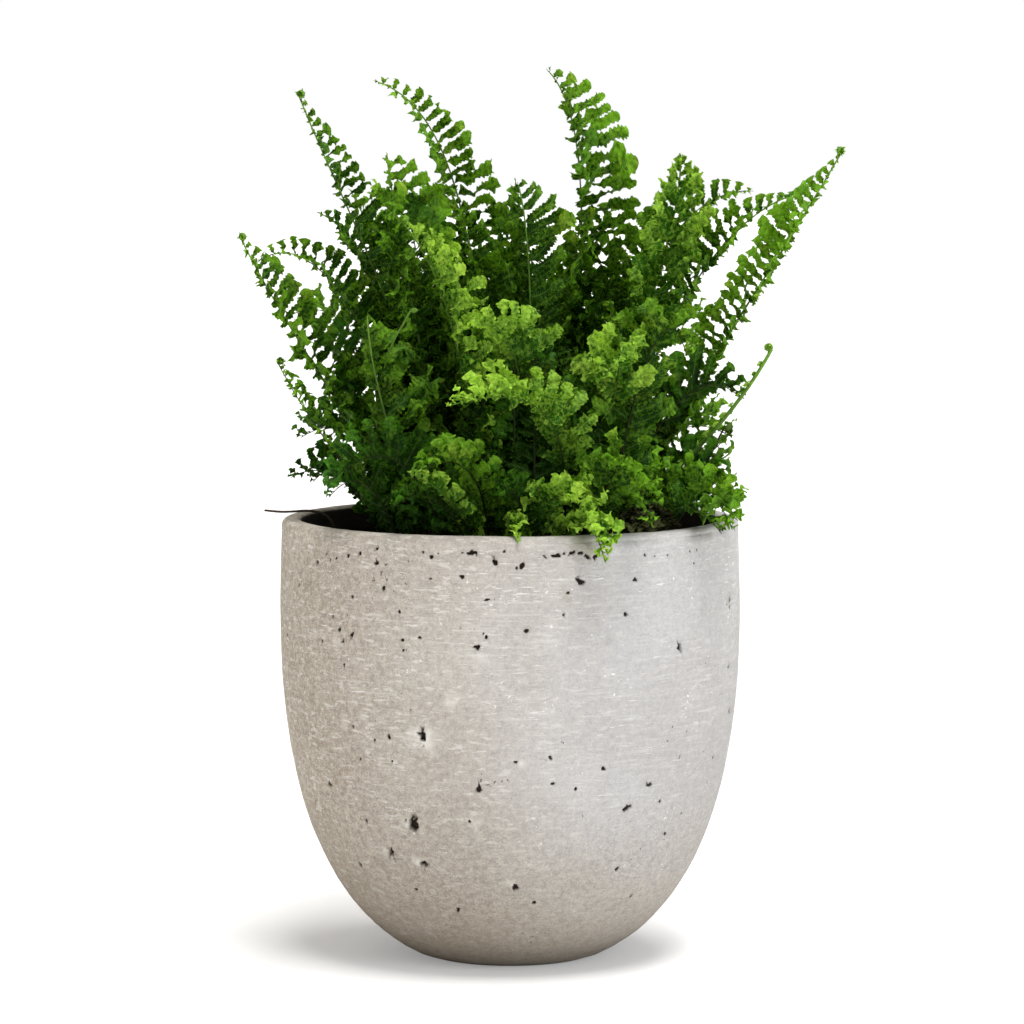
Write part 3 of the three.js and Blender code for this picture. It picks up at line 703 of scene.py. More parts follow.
def make_moss():
    rng = np.random.RandomState(12)
    vertices, faces = [], []

    def add_flake(place, size, lift):
        start = len(vertices)
        vertices.extend(flake(rng, place, size, lift))
        faces.extend((start, start + 1 + k, start + 1 + (k + 1) % 5) for k in range(5))

    for _ in range(MOSS_FLAKES):
        x = MOSS_CENTRE[0] + rng.normal(0, MOSS_SPREAD)
        y = MOSS_CENTRE[1] + rng.normal(0, MOSS_SPREAD)
        if math.hypot(x, y) > FLAKES_WITHIN:
            continue
        away = math.hypot(x - MOSS_CENTRE[0], y - MOSS_CENTRE[1]) / MOSS_SPREAD
        pile = 0.003 + MOSS_PILE * math.exp(-0.5 * away * away)
        place = (x, y, soil_height(x, y) + rng.uniform(-0.0005, pile))
        add_flake(place, rng.uniform(0.0012, 0.0034), rng.uniform(0.0008, 0.003))
    for _ in range(LITTER_FLAKES):
        r, a = FLAKES_WITHIN * math.sqrt(rng.rand()), rng.uniform(0, 2 * math.pi)
        x, y = r * math.cos(a), r * math.sin(a)
        place = (x, y, soil_height(x, y) + rng.uniform(0, 0.0012))
        add_flake(place, rng.uniform(0.0012, 0.003), rng.uniform(0.0005, 0.0015))
    moss = new_object("moss", vertices, faces, [moss_material()])
    dress(moss, None)


RUNNER_PATH = [
    (-0.072, 0.012, 0.1551), (-0.072, 0.012, 0.163), (-0.072, 0.012, 0.170), (-0.075, 0.011, 0.179),
    (-0.082, 0.010, 0.1825), (-0.094, 0.009, 0.1823), (-0.102, 0.008, 0.183),
]
RUNNER_RADIUS = 0.0007


def tube(points, radii, sides):
    """Vertices and faces of a closed tube along points."""
    points = np.asarray(points, float)
    ways = np.gradient(points, axis=0)
    ways /= np.linalg.norm(ways, axis=1)[:, None]
    side = np.cross(ways[0], (0.3, 0.9, 0.2))
    vertices = []
    for point, way, radius in zip(points, ways, radii):
        side = side - way * side.dot(way)
        side /= np.linalg.norm(side)
        other = np.cross(way, side)
        for k in range(sides):
            a = 2 * math.pi * k / sides
            vertices.append(point + radius * (math.cos(a) * side + math.sin(a) * other))
    faces = []
    for i in range(len(points) - 1):
        a, b = i * sides, (i + 1) * sides
        faces += [(a + k, a + (k + 1) % sides, b + (k + 1) % sides, b + k) for k in range(sides)]
    faces.append(tuple(range(sides))[::-1])
    faces.append(tuple(range((len(points) - 1) * sides, len(points) * sides)))
    return np.array(vertices), faces


def smooth_path(points, count):
    """A uniform Catmull-Rom curve through the points."""
    p = np.array(points, float)
    p = np.vstack([2 * p[0] - p[1], p, 2 * p[-1] - p[-2]])
    out = []
    for i in range(1, len(p) - 2):
        for k in range(count):
            t = k / count
            a = 2 * p[i]
            b = p[i + 1] - p[i - 1]
            c = 2 * p[i - 1] - 5 * p[i] + 4 * p[i + 1] - p[i + 2]
            d = -p[i - 1] + 3 * p[i] - 3 * p[i + 1] + p[i + 2]
            out.append(0.5 * (a + b * t + c * t * t + d * t ** 3))
    return np.array(out + [p[-2]])


def make_runner():
    path = smooth_path(RUNNER_PATH, 12)
    taper = 1 - 0.4 * np.arange(len(path)) / len(path)
    rough = np.array([1 + 0.25 * noise.noise(Vector(point) * 500) for point in path])
    radii = RUNNER_RADIUS * taper * rough
    vertices, faces = tube(path, radii, 10)
    runner = new_object("runner_stem", vertices.tolist(), faces, [bark_material()])
    dress(runner, "runner")


# Fronds


# Fronds that the photo shows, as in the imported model, in mm and degrees: name, foot, shoulder, tip, half
# width, roll, curled tip, colour
SHOWN_FRONDS = [
    ("left_tall", (-20, 0), (-68, -8, 308), (-86, -10, 354), 17, -45, True, "mid"),
    ("top_left", (-8, 12), (-17, 20, 350), (-57, 30, 361), 19, -45, False, "mid"),
    ("top_middle", (24, 10), (38, 18, 344), (15, 32, 366), 23, 32, False, "mid"),
    ("right_upright", (30, -4), (70, -18, 292), (70, 0, 330), 20, 88, False, "bright"),
    ("right_back_arch", (30, 16), (64, 28, 318), (102, 34, 315), 20, 48, False, "mid"),
    ("right_arch", (38, 4), (82, -4, 304), (117, -6, 314), 18, 45, False, "mid"),
    ("right_long", (48, -4), (94, -4, 260), (136, 0, 331), 15, 45, True, "mid"),
    ("left_long", (-42, -6), (-84, -10, 244), (-110, -10, 296), 18, -45, True, "mid"),
    ("left_back", (-28, 14), (-58, 24, 298), (-80, 28, 306), 20, -40, False, "mid"),
    ("left_young", (-48, -18), (-78, -27, 214), (-94, -28, 246), 9, -40, True, "mid"),
    ("left_mid", (-46, 5), (-70, 2, 250), (-84, 8, 262), 19, -45, False, "dark"),
    ("left_low", (-52, -6), (-74, -10, 208), (-90, -12, 198), 13, -35, False, "dark"),
    ("left_side_low", (-54, 16), (-70, 26, 208), (-83, 32, 193), 13, -35, False, "dark"),
    ("left_face", (-26, -14), (-44, -28, 288), (-50, -22, 330), 25, -75, False, "mid"),
    ("left_front", (-38, -30), (-56, -50, 238), (-57, -48, 266), 20, 25, False, "mid"),
    ("front_bright", (-14, -26), (-20, -50, 276), (-43, -44, 303), 22, -40, True, "bright"),
    ("centre_curl", (-6, -4), (-12, -2, 292), (-24, 2, 314), 17, -45, True, "mid"),
    ("centre_broad", (8, -8), (10, -10, 296), (3, -22, 319), 21, 0, False, "mid"),
    ("front_centre", (8, -24), (5, -60, 272), (-15, -77, 262), 21, 15, False, "bright"),
    ("front_pale", (22, -34), (24, -78, 246), (-25, -91, 232), 18, 0, False, "bright"),
    ("front_low", (-8, -44), (-14, -80, 218), (-38, -84, 206), 14, 0, False, "mid"),
    ("front_over_rim", (8, -46), (22, -84, 212), (38, -103, 175), 13, 0, False, "bright"),
    ("left_front_low", (-26, -42), (-48, -70, 226), (-72, -78, 200), 18, 25, False, "dark"),
    ("right_low", (58, 2), (76, 2, 222), (89, 0, 207), 14, 40, False, "mid"),
    ("right_over_rim", (52, -26), (76, -56, 212), (88, -72, 182), 17, -30, False, "mid"),
    ("young_right", (42, -30), (84, -46, 214), (105, -41, 252), 0, 0, True, "bright"),
    ("young_low", (57, -12), (76, -18, 203), (90, -20, 217), 6, 0, True, "mid"),
    ("front_right_tip", (30, -20), (54, -58, 266), (34, -82, 240), 19, 0, False, "bright"),
    ("front_right_low", (34, -42), (46, -80, 226), (54, -99, 186), 18, 0, False, "mid"),
    ("left_arch", (-34, 4), (-78, 4, 306), (-104, 0, 286), 15, -45, False, "mid"),
    ("right_lush", (40, -28), (62, -56, 284), (70, -66, 250), 22, -20, False, "mid"),
    ("right_front", (60, -22), (78, -38, 218), (84, -48, 200), 15, -30, False, "dark"),
    ("front_rim_left", (-16, -56), (-32, -76, 204), (-46, -84, 192), 12, 0, False, "dark"),
    ("front_rim", (6, -56), (4, -74, 203), (-4, -87, 196), 12, 0, False, "dark"),
    ("left_rim", (-44, -42), (-60, -56, 210), (-72, -62, 194), 13, 30, False, "dark"),
    ("right_mid", (42, -14), (76, -24, 252), (94, -32, 231), 20, -50, False, "dark"),
]

# Fronds behind, in mm: name, count, first and last azimuth in degrees, foot radius, reach, shoulder and tip
# height, half width
BACK_TIERS = [
    ("back_low", 8, 32, 148, 57, 106, 220, 203, 18),
    ("back_mid", 6, 22, 158, 40, 98, 276, 262, 21),
    ("back_high", 3, 42, 138, 24, 62, 300, 306, 20),
]
BACK_JITTER = 5
BACK_SEED = 41
# Painted shade on leaflets near the heart of the crown: the heart, the radius where the shade is full, and
# the distance over which it fades
CROWN_HEART = np.array([0, 0, 0.20])
DARK_WITHIN = 0.055
DARK_FADE = 0.09

# Fronds with a blunt tip, by name
BLUNT = ["left_face", "centre_broad", "right_upright", "front_over_rim", "front_right_tip", "top_middle"]

# Fronds whose leaflets stand more edge on, in degrees, or point further back, in degrees at the tip, and
# fronds that are lighter or darker
OWN_EDGE = {
    "top_middle": 72, "right_upright": 96, "top_left": 70, "left_tall": 66, "left_face": 66,
    "centre_broad": 62, "centre_curl": 60, "right_long": 58,
}
OWN_LEAN = {
    "top_middle": 26, "top_left": 42, "left_tall": 32, "right_long": 18, "left_long": 20, "left_face": 16,
    "centre_broad": 14, "centre_curl": 20, "left_arch": 20, "right_arch": 16, "right_back_arch": 16,
}
OWN_TONE = {
    # left_low and left_side_low are darker as painted shade low under the crown
    "front_low": 0.25, "front_pale": 0.10, "left_low": -0.2, "left_side_low": -0.2, "right_upright": -0.18,
    "top_middle": -0.22, "top_left": -0.25, "left_tall": -0.18, "left_back": -0.18, "left_arch": -0.12,
    "left_long": -0.1, "right_long": -0.05, "left_face": -0.04, "right_arch": -0.15, "right_back_arch": -0.12,
    "front_over_rim": 0.15, "rim_bright": 0.3, "sprig": 0.12,
}

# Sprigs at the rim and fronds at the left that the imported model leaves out, in mm, as above
EXTRA_FRONDS = [
    ("rim_right_a", (56, -28), (75, -38, 200), (92, -44, 183), 13, 0, False, "mid"),
    ("rim_right_b", (52, -40), (70, -56, 199), (84, -66, 180), 14, -10, False, "mid"),
    ("rim_right_c", (60, -10), (80, -14, 200), (92, -14, 186), 12, 0, False, "mid"),
    ("rim_tip", (2, -62), (3, -82, 194), (3, -95, 179), 5.5, 0, False, "bright"),
    ("rim_bright", (18, -58), (31, -88, 196), (37, -101, 172), 9, 0, False, "bright"),
    ("sprig", (-14, -54), (-24, -80, 199), (-40, -86, 206), 8, 10, False, "bright"),
    ("left_behind_a", (-26, -2), (-54, 2, 296), (-66, 4, 316), 19, -30, False, "mid"),
    ("left_behind_b", (-22, 2), (-40, 8, 296), (-45, 12, 320), 20, 20, False, "mid"),
]

BARE_SHARE = 0.09
LOW_SHOULDER = 0.235
EDGE_ON = 52
EDGE_ON_SPREAD = 8
PINNA_PITCH = 0.0050
FULL_HALF_WIDTH = 0.020
DROOP = 12
RAISE = 46
RAISED_FROM = 0.7
TIP_TAPER = 0.30
BLUNT_TAPER = 0.17
WILD_FROM = 0.030
WILD_OVER = 0.035
WILDEST = 0.6
# A leaflet: its half width as a share of its length and at least, the length from which it turns oblong, its
# crest near the tip, its rounded end, and the ear at its foot
HALF_SHARE = 0.086
HALF_LEAST = 0.0012
BIG_FROM = 0.007
BIG_OVER = 0.012
CREST_AT = 0.84
CREST_REACH = 0.13
ROUND_FROM = 0.86
ROUND_OVER = 0.145
EAR = 0.45
EAR_AT = 0.13
EAR_REACH = 0.07
LOBE = 0.0016
MOST_LOBES = 14
LOBE_STEPS = 3
LOBE_OUTLINE = np.array([0.0, 0.95, 1.0])
FILL_COUNT = 26
FILL_TURNS = 5
V_LINES = np.array([-1, -0.55, 0, 0.55, 1])
YOUNG_STEM = (0.0015, 0.00092)
RIB_STATIONS = 46
RIB_SIDES = 6
ROOT_DEPTH = 0.006
ROOT_LIFT = 0.001
CURL_STATIONS = 18
CURL_RADIUS = 0.0015
CURL_TUBE = 0.00085
CURL_TURN = 560
BUD_SIZE = 0.0027


def seeded(seed):
    """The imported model's own run of numbers from 0 to 1."""
    state = seed
    while True:
        state = (state * 1664525 + 1013904223) % 2 ** 32
        yield state / 2 ** 32


def back_fronds():
    numbers = seeded(BACK_SEED)
    out = []
    for name, count, start, end, foot, reach_all, shoulder, tip, half in BACK_TIERS:
        for i in range(count):
            turn = start + (end - start) * i / (count - 1) + BACK_JITTER * (next(numbers) - 0.5)
            cos, sin = math.cos(math.radians(turn)), math.sin(math.radians(turn))
            reach = reach_all * (0.92 + 0.12 * next(numbers))
            lift = 8 * next(numbers)
            over = (0.72 * reach * cos, 0.72 * reach * sin, shoulder + lift)
            end_point = (reach * cos, reach * sin, tip + lift)
            roll = 30 * (next(numbers) - 0.5)
            curled = next(numbers) < 0.3
            colour = "mid" if next(numbers) < 0.6 else "dark"
            root = (foot * cos, foot * sin)
            out.append((f"{name}_{i + 1}", root, over, end_point, half, roll, curled, colour))
    return out


def unit(vectors):
    return vectors / np.linalg.norm(vectors, axis=-1, keepdims=True)


def turned(vectors, axes, angles):
    """Vectors turned about unit axes by angles, all arrays of the same length."""
    cos, sin = np.cos(angles)[..., None], np.sin(angles)[..., None]
    dots = np.sum(vectors * axes, -1, keepdims=True)
    return vectors * cos + np.cross(axes, vectors) * sin + axes * dots * (1 - cos)


class Parts:
    """Vertices, faces, colour layers and material slots of one piece, as they are added."""

    def __init__(self, colour):
        self.colour = colour
        self.vertices, self.faces, self.layers, self.slots, self.count = [], [], [], [], 0

    def add(self, vertices, faces, layers, slot):
        self.faces.append(faces + self.count)
        self.vertices.append(vertices)
        self.layers.append(layers)
        self.slots += [slot] * len(faces)
        self.count += len(vertices)


class Frond(Parts):
    """The line of one rachis, with its right, up and forward directions."""

    def __init__(self, row, seed):
        self.name, foot, shoulder, tip, half, roll, self.curled, colour = row
        super().__init__(colour)
        self.half = half * MM
        self.roll = math.radians(roll)
        self.rng = np.random.RandomState(seed)
        foot, shoulder, tip = np.array(foot) * MM, np.array(shoulder) * MM, np.array(tip) * MM
        start = np.array([*foot, soil_height(*foot) + ROOT_LIFT])
        rise = np.array([*(foot + 0.3 * (shoulder[:2] - foot)), start[2] + 0.55 * (shoulder[2] - start[2])])
        self.controls = np.array([start, rise, shoulder, tip])
        self.across = unit(np.array([tip[1] - foot[1], foot[0] - tip[0], 0]))
        steps = np.linspace(0, 1, 401)
        line = self.bezier(steps)
        lengths = np.concatenate([[0], np.cumsum(np.linalg.norm(np.diff(line, axis=0), axis=1))])
        self.length = lengths[-1]
        self.steps, self.shares = steps, lengths / self.length

    def bezier(self, s):
        s = s[:, None]
        a, b, c, d = self.controls
        return a * (1 - s) ** 3 + 3 * b * s * (1 - s) ** 2 + 3 * c * s ** 2 * (1 - s) + d * s ** 3

    def frames(self, t):
        """Points and directions at shares t of the rachis's length."""
        t = np.asarray(t, float)
        s = np.interp(t, self.shares, self.steps)
        a, b, c, d = self.controls
        column = s[:, None]
        slope = (b - a) * (1 - column) ** 2 + 2 * (c - b) * column * (1 - column) + (d - c) * column ** 2
        forward = unit(slope)
        across = unit(self.across - forward * (forward @ self.across)[:, None])
        across = turned(across, forward, self.roll * np.minimum(1, 1.6 * t))
        return self.bezier(s), forward, across, np.cross(across, forward)


def rib_radius(t):
    return (1.05 - 0.70 * np.minimum(1, np.asarray(t) / 0.75)) * MM


def add_rib(frond, places, across, up, radii, shares):
    """A flattened tube along places, pointed at its end."""
    angles = np.arange(RIB_SIDES) * 2 * math.pi / RIB_SIDES
    ring = np.cos(angles)[:, None] * across[:, None] + 0.8 * np.sin(angles)[:, None] * up[:, None]
    vertices = (places[:, None] + radii[:, None, None] * ring).reshape(-1, 3)
    base = np.arange(len(places) - 1)[:, None] * RIB_SIDES
    here = base + np.arange(RIB_SIDES)
    after = base + np.roll(np.arange(RIB_SIDES), -1)
    faces = np.stack([here, after, after + RIB_SIDES, here + RIB_SIDES], -1).reshape(-1, 4)
    layers = np.zeros((len(vertices), 4))
    layers[:, 2] = np.repeat(shares, RIB_SIDES)
    layers[:, 3] = 1
    frond.add(vertices, faces, layers, 1)


def curl_line(frond):
    """Points and directions of the coiled end, which rolls towards the upper side and tightens."""
    place, forward, across, up = (row[0] for row in frond.frames([1.0]))
    total = math.radians(CURL_TURN)
    turns = total * np.linspace(0, 1, CURL_STATIONS)
    radii = CURL_RADIUS * (1 - 0.72 * turns / total)
    out = []
    for turn, radius, step in zip(turns, radii, np.diff(turns, prepend=0)):
        middle = turn - step / 2
        place = place + radius * step * (math.cos(middle) * forward + math.sin(middle) * up)
        ahead = math.cos(turn) * forward + math.sin(turn) * up
        out.append((place, ahead, across, np.cross(across, ahead)))
    return [np.array(rows) for rows in zip(*out)]


def pinna_rows(frond):
    """Shares of the rachis where leaflet pairs stand, and each leaflet's side and length."""
    if frond.half == 0:
        t = np.arange(0.42, 0.97, 0.05)
        return np.repeat(t, 2), np.tile([1, -1], len(t)), np.full(2 * len(t), BUD_SIZE)
    pitch = PINNA_PITCH * (0.45 + 0.55 * frond.half / FULL_HALF_WIDTH)
    pairs = max(6, round(frond.length * (1 - BARE_SHARE) / pitch))
    along = np.repeat(np.arange(pairs), 2) + np.tile([0, 0.45], pairs) + 0.1
    side = np.tile([1, -1], pairs)
    share = along / pairs
    t = np.minimum(BARE_SHARE + (1 - BARE_SHARE) * share, 0.995)
    foot = 0.5 + 0.5 * np.minimum(1, share / 0.16)
    taper = BLUNT_TAPER if frond.name in BLUNT else TIP_TAPER
    tip = np.clip((1 - share) / taper, 0.03, 1) ** 0.8
    return t, side, frond.half * foot * tip


def wander(rng, share, side):
    """A number from about -1 to 1 for each leaflet that changes slowly along each side of the frond."""
    total = np.zeros(len(share))
    for turns, weight in ((1.3, 0.6), (3.1, 0.4), (7.3, 0.25)):
        phases = rng.rand(2)
        total += weight * np.sin(2 * math.pi * (turns * share + np.where(side > 0, *phases)))
    return total


def add_pinnae(frond, places, forward, across, up, side, length, share):
    """Ruffled, lobed leaflets, made in groups of one lobe count. Arrays have one row for each leaflet."""
    rng = frond.rng
    n = len(length)
    wild = frond.wild

    def jitter(size):
        return size * rng.randn(n)

    def drift(size):
        return size * wander(rng, share, side)

    length = length * np.clip(1 + jitter(0.08), 0.78, 1.22)
    tip_fade = 1 - 0.3 * np.clip((share - 0.55) / 0.4, 0, 1)
    traits = {
        "droop": DROOP - RAISE * np.minimum(1, share / RAISED_FROM) + jitter(6 + 15 * wild),
        "lean": 76 + (frond.lean - 24) * share + drift(4) + jitter(3 + 8 * wild),
        "bend": np.clip(40 + drift(20) + jitter(13 + 17 * wild), -15, 115),
        "hook": np.clip(0.05 + drift(0.08) + jitter(0.05), -0.2, 0.3),
        "twist": frond.edge_on * tip_fade + drift(9) + jitter(7 + 16 * wild),
        "twist_end": 30 * wild + drift(16) + jitter(12 + 18 * wild),
        "width": np.clip(1 + jitter(0.12), 0.75, 1.3),
        "crest": np.clip(0.14 + jitter(0.16), 0, 0.5),
        "cup": np.clip(0.1 + jitter(0.3), -0.5, 0.7),
        "ruffle": np.clip(0.29 + 0.10 * wild + jitter(0.08), 0.1, 0.6),
        "depth": np.clip(0.25 + jitter(0.06), 0.14, 0.45),
        "tone": jitter(0.10 + 0.08 * wild) + drift(0.10),
    }
    lobes = np.clip(np.round(length / LOBE + rng.uniform(-0.5, 0.5, n)), 2, MOST_LOBES).astype(int)
    for count in np.unique(lobes):
        pick = lobes == count
        own = {key: values[pick, None] for key, values in traits.items()}
        rows = [values[pick] for values in (places, forward, across, up, side, length, share)]
        add_group(frond, count, own, *rows)


def add_group(frond, lobes, traits, places, forward, across, up, side, length, share):
    """Leaflets that all have the same number of lobes on each margin."""
    rng = frond.rng
    n = len(length)

    def wave(turns, along):
        """A wave along each leaflet, from a random start."""
        return np.sin(2 * math.pi * (turns * along + rng.rand(n, 1)))

    steps = LOBE_STEPS * lobes
    side = side[:, None].astype(float)
    droop, lean = np.radians(traits["droop"]), np.radians(traits["lean"])
    lateral = side * across * np.cos(droop) - up * np.sin(droop)
    ahead = unit(np.cos(lean) * forward + np.sin(lean) * lateral)
    margin = unit(forward - ahead * np.sum(forward * ahead, -1, keepdims=True))
    normal = np.cross(ahead, margin) * -side

    even = np.linspace(0, 1, steps + 1)[None, :]
    u = even + 0.03 * wave(1.5, even) * np.sin(math.pi * even)
    flat = length[:, None]
    big = np.clip((flat - BIG_FROM) / BIG_OVER, 0, 1)
    bend = np.radians(traits["bend"]) + 1e-3
    run = flat * np.sin(bend * u) / bend
    fall = flat * (1 - np.cos(bend * u)) / bend
    hook = flat * traits["hook"] * u ** 2
    slow = 0.035 * flat * wave(1.3, u)
    twist = np.radians(traits["twist"] * (1 - u) ** 0.8 + traits["twist_end"] * u)

    cos_b, sin_b = np.cos(bend * u)[..., None], np.sin(bend * u)[..., None]
    normal_u = normal[:, None] * cos_b + ahead[:, None] * sin_b
    ahead_u = ahead[:, None] * cos_b - normal[:, None] * sin_b
    cos_t, sin_t = np.cos(twist)[..., None], np.sin(twist)[..., None]
    margin_u = margin[:, None] * cos_t - normal_u * sin_t
    normal_u = normal_u * cos_t + margin[:, None] * sin_t
    middle = places[:, None] + run[..., None] * ahead[:, None] - fall[..., None] * normal[:, None]
    middle = middle + hook[..., None] * margin[:, None] + slow[..., None] * normal_u

    half = (HALF_SHARE * flat + HALF_LEAST) * traits["width"]
    fan = 0.35 + 0.65 * np.clip(u / 0.7, 0, 1) ** 0.8
    oblong = np.clip(u / 0.1, 0, 1) ** 0.6 * (1 - 0.2 * u)
    body = fan + (oblong - fan) * big * 0.75
    crest = traits["crest"] * np.exp(-((u - CREST_AT) / CREST_REACH) ** 2)
    end = np.sqrt(1 - np.clip((u - ROUND_FROM) / ROUND_OVER, 0, 1) ** 2)
    width = (half * (0.1 + 0.9 * body + crest) * end)[..., None]

    v = V_LINES[None, None, :]
    place_in_lobe = np.arange(steps + 1) % LOBE_STEPS
    full = LOBE_OUTLINE[place_in_lobe][None, :, None]
    number = np.minimum(np.arange(steps + 1) // LOBE_STEPS, lobes - 1)
    heights = rng.uniform(0.45, 1.1, (n, lobes, 2)) * np.where(np.arange(lobes) % 2, 1, -1)[None, :, None]
    heights = heights * np.where(rng.rand(n, 1, 2) < 0.5, 1, -1)
    margin_of = np.where(V_LINES > 0, 0, 1)
    tilts = heights[:, number][..., margin_of]
    tones = rng.uniform(-1, 1, (n, lobes, 2))[:, number][..., margin_of]
    ear = 1 + EAR * np.exp(-((u - EAR_AT) / EAR_REACH) ** 2)[..., None] * (v > 0)
    out = width * ear * (1 - traits["depth"][..., None] * (1 - full) * np.abs(v) ** 2) * v
    slide = 0.25 * LOBE * np.abs(v) ** 1.5 * (1 - u[..., None] ** 4)
    crisp = (0.5 + 0.5 * u[..., None]) * width * np.abs(v) ** 1.2
    lift = traits["ruffle"][..., None] * crisp * full * tilts
    lift = lift + traits["cup"][..., None] * width * v ** 2
    lift = lift + (0.46 + 0.1 * frond.wild) * width * v * wave(1.6, u)[..., None]
    lift = lift + (0.35 + 0.2 * frond.wild) * width * np.abs(v) * wave(2.6, u)[..., None]

    points = middle[:, :, None] + out[..., None] * margin_u[:, :, None]
    points = points + slide[..., None] * ahead_u[:, :, None] + lift[..., None] * normal_u[:, :, None]

    columns = len(V_LINES)
    i, j = np.meshgrid(np.arange(steps), np.arange(columns - 1), indexing="ij")
    corner = (i * columns + j).ravel()
    cell = np.stack([corner, corner + columns, corner + columns + 1, corner + 1], -1)
    faces = (cell[None] + (np.arange(n) * (steps + 1) * columns)[:, None, None]).reshape(-1, 4)

    # Painted shade: leaflets near the heart of the crown are darker
    painted_shade_fade = np.clip((np.linalg.norm(places - CROWN_HEART, axis=1) - DARK_WITHIN) / DARK_FADE, 0, 1)
    young_and_lit = 0.3 * share ** 2 + 0.3 * painted_shade_fade - 0.16 + traits["tone"][:, 0] + frond.tone
    edge = np.abs(v) ** 1.5
    layers = np.ones((n, steps + 1, columns, 4))
    # Painted shade darkens each leaflet towards its foot; along the margin the lobes are painted lighter and
    # the notches between them darker, with a random tone for each lobe
    young_and_lit = young_and_lit[:, None, None] + 0.54 * u[..., None] ** 1.5 + edge * (0.46 * full - 0.22 + 0.22 * tones)
    layers[..., 0] = np.clip(young_and_lit, 0, 1)
    layers[..., 1] = np.abs(v)
    layers[..., 2] = u[..., None] * lobes / MOST_LOBES
    frond.add(points.reshape(-1, 3), faces, layers.reshape(-1, 4), 0)


def grow(row, seed, lush=1.0, edge_on=EDGE_ON):
    """One frond's rib and leaflets, kept in its lists."""
    frond = Frond(row, seed)
    frond.tone = 0.09 * frond.rng.randn() + OWN_TONE.get(frond.name, 0)
    frond.lean = OWN_LEAN.get(frond.name, 0)
    frond.edge_on = OWN_EDGE.get(frond.name, edge_on) + EDGE_ON_SPREAD * frond.rng.randn()
    frond.wild = WILDEST * float(np.clip((-frond.controls[3][1] - WILD_FROM) / WILD_OVER, 0, 1))
    shares = np.linspace(0, 1, RIB_STATIONS)
    places, _, across, up = frond.frames(shares)
    root = places[0] - np.array([0, 0, ROOT_DEPTH])
    places = np.vstack([[root], places])
    across, up = np.vstack([across[:1], across]), np.vstack([up[:1], up])
    radii = np.concatenate([rib_radius([0]), rib_radius(shares)])
    if frond.half == 0:
        radii = np.linspace(YOUNG_STEM[0], YOUNG_STEM[1], len(radii))
    shares = np.concatenate([[0], shares])
    if frond.curled:
        curl = curl_line(frond)
        line = zip((places, across, up), (curl[0], curl[2], curl[3]))
        places, across, up = (np.vstack(pair) for pair in line)
        radii = np.concatenate([radii, CURL_TUBE * np.linspace(0.9, 1, CURL_STATIONS)])
        shares = np.concatenate([shares, np.ones(CURL_STATIONS)])
        pick = np.repeat(np.arange(1, CURL_STATIONS - 1, 3), 2)
        sides = np.tile([1, -1], len(pick) // 2)
        sizes = np.linspace(0.0020, 0.0010, len(pick))
        add_pinnae(frond, *(rows[pick] for rows in curl), sides, sizes, np.full(len(pick), 0.9))
    shoulder, tip = frond.controls[2][2], frond.controls[3][2]
    if frond.half > 0 and (shoulder < LOW_SHOULDER or tip < shoulder):
        radii, shares = 0.7 * radii, (0.85 if frond.colour == "bright" else 0.35) * shares
    radii[-1] = 0.0001
    add_rib(frond, places, across, up, radii, shares)
    t, side, length = pinna_rows(frond)
    add_pinnae(frond, *frond.frames(t), side, length * lush, t)
    return frond


def frond_piece(name, fronds, materials, node):
    vertices, faces, slots, count = [], [], [], 0
    for frond in fronds:
        vertices += frond.vertices
        faces += [rows + count for rows in frond.faces]
        slots += frond.slots
        count += frond.count
    used = [materials[fronds[0].colour], materials["rib"]]
    piece = new_object(name, np.vstack(vertices).tolist(), np.vstack(faces).tolist(), used)
    layer = piece.data.color_attributes.new("leaf", "FLOAT_COLOR", "POINT")
    layer.data.foreach_set("color", np.vstack([rows for frond in fronds for rows in frond.layers]).ravel())
    piece.data.polygons.foreach_set("material_index", slots)
    dress(piece, node)


def fill_rows():
    """Short inner fronds that close the lower half of the crown."""
    rng = np.random.RandomState(77)
    out = []
    for i in range(FILL_COUNT):
        turn = 2 * math.pi * (i + 0.5 * rng.rand()) / FILL_COUNT * FILL_TURNS
        cos, sin = math.cos(turn), math.sin(turn)
        foot, reach = rng.uniform(12, 56), rng.uniform(30, 78)
        reach = max(reach, foot + 12)
        top = rng.uniform(215, 285) - 0.4 * reach
        shoulder = (0.75 * reach * cos, 0.75 * reach * sin, top + 12)
        tip = (reach * cos, reach * sin, top - rng.uniform(0, 14))
        half, roll = rng.uniform(14, 19), rng.uniform(-30, 30)
        out.append((f"fill_{i}", (foot * cos, foot * sin), shoulder, tip, half, roll, False, "dark"))
    return out


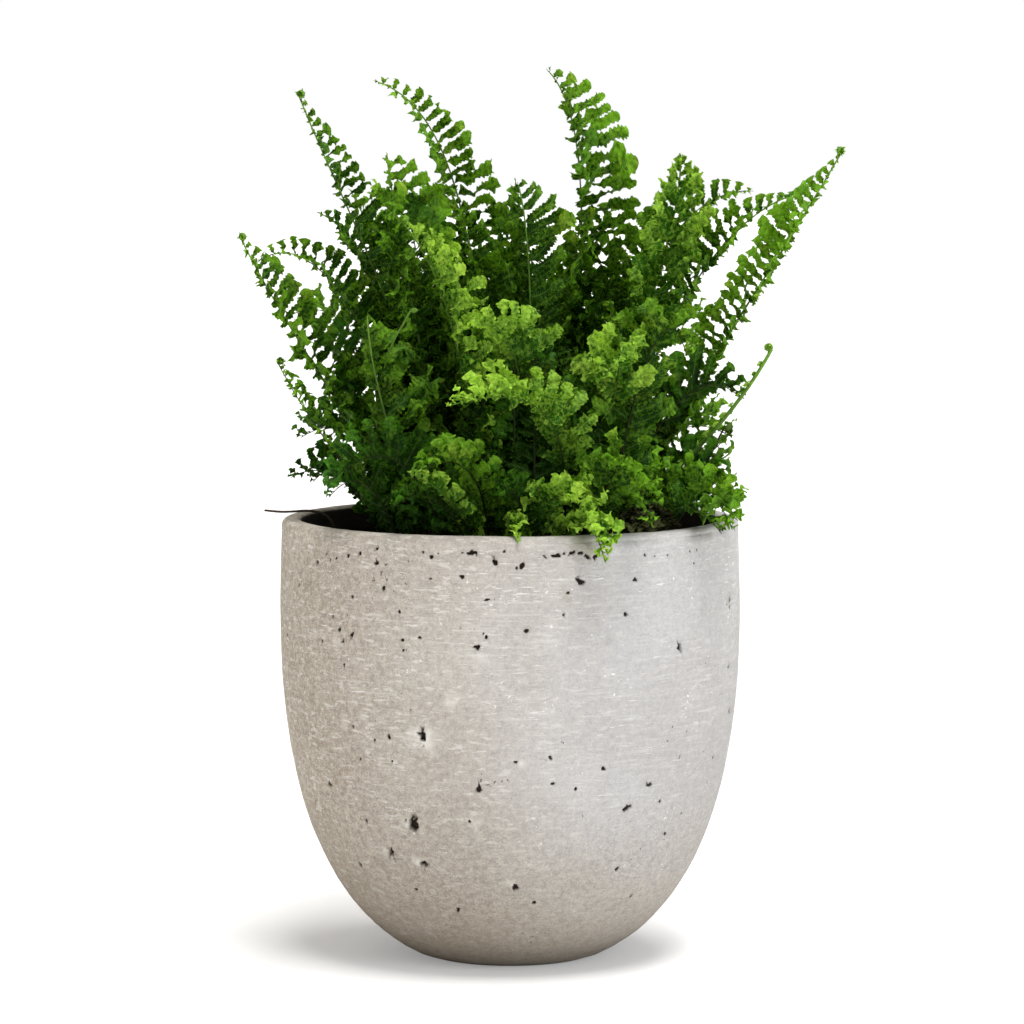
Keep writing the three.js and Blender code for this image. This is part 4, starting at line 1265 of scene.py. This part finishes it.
# Small stems without leaflets, in mm: path, thickness at the foot, how green, and where buds stand along it
SMALL_STEMS = [
    ([(60, -36, 172), (70, -38, 186), (76.5, -40, 201), (80, -41, 208), (83, -42, 214.5), (86.5, -42, 221.5)],
     0.5, 0.1, [0.62, 0.80, 0.97]),
    ([(77.5, -40, 203), (80.4, -42, 206.5), (85.2, -44, 208.3), (88.7, -45, 210.8)], 0.42, 0.9, [0.5, 0.97]),
    ([(-36, -20, 171), (-50, -26, 200), (-54, -30, 224), (-50, -40, 246), (-46.6, -50, 255.5),
      (-42.6, -54, 262.5), (-39, -55, 269)], 0.55, 0.75, [0.98]),
]
BUD_RADII = np.array([0.3, 1.0, 1.1, 0.8, 0.1]) * MM
BUD_LENGTH = 0.0034


def small_stems():
    parts = Parts("mid")
    for path, thick, green, buds in SMALL_STEMS:
        places = smooth_path(np.array(path) * MM, 6)
        forward = unit(np.gradient(places, axis=0))
        across = unit(np.cross(forward, (0, 1, 0)))
        up = np.cross(across, forward)
        radii = np.linspace(thick, 0.75 * thick, len(places)) * MM
        radii[-1] = 0.0001
        add_rib(parts, places, across, up, radii, np.full(len(places), green))
        for number, share in enumerate(buds):
            at = round(share * (len(places) - 1))
            side = across[at] * (1 if number % 2 else -1)
            way = unit(0.6 * forward[at] + 0.7 * side - 0.3 * up[at])
            line = places[at] + np.linspace(0, BUD_LENGTH, len(BUD_RADII))[:, None] * way
            wide = np.tile(unit(np.cross(way, up[at])), (len(line), 1))
            add_rib(parts, line, wide, np.cross(wide, way), BUD_RADII, np.full(len(line), max(green, 0.5)))
    return parts


def make_plant():
    materials = {name: leaf_material(name) for name in LEAF_TONES}
    materials["rib"] = rib_material()
    for number, row in enumerate(SHOWN_FRONDS):
        frond = grow(row, 100 + number)
        frond_piece(f"fern_{row[0]}", [frond], materials, f"frond_{row[0]}")
    for number, row in enumerate(back_fronds()):
        frond = grow(row, 200 + number, lush=1.1, edge_on=30)
        frond_piece(f"fern_{row[0]}", [frond], materials, f"frond_{row[0]}")
    fill = [grow(row, 300 + number, edge_on=25) for number, row in enumerate(fill_rows())]
    frond_piece("fern_inner", fill, materials, None)
    for number, row in enumerate(EXTRA_FRONDS):
        frond_piece(f"fern_{row[0]}", [grow(row, 400 + number)], materials, None)
    frond_piece("fern_stems", [small_stems()], materials, None)


make_camera()
make_studio()
make_pot()
make_soil()
make_moss()
make_runner()
make_plant()
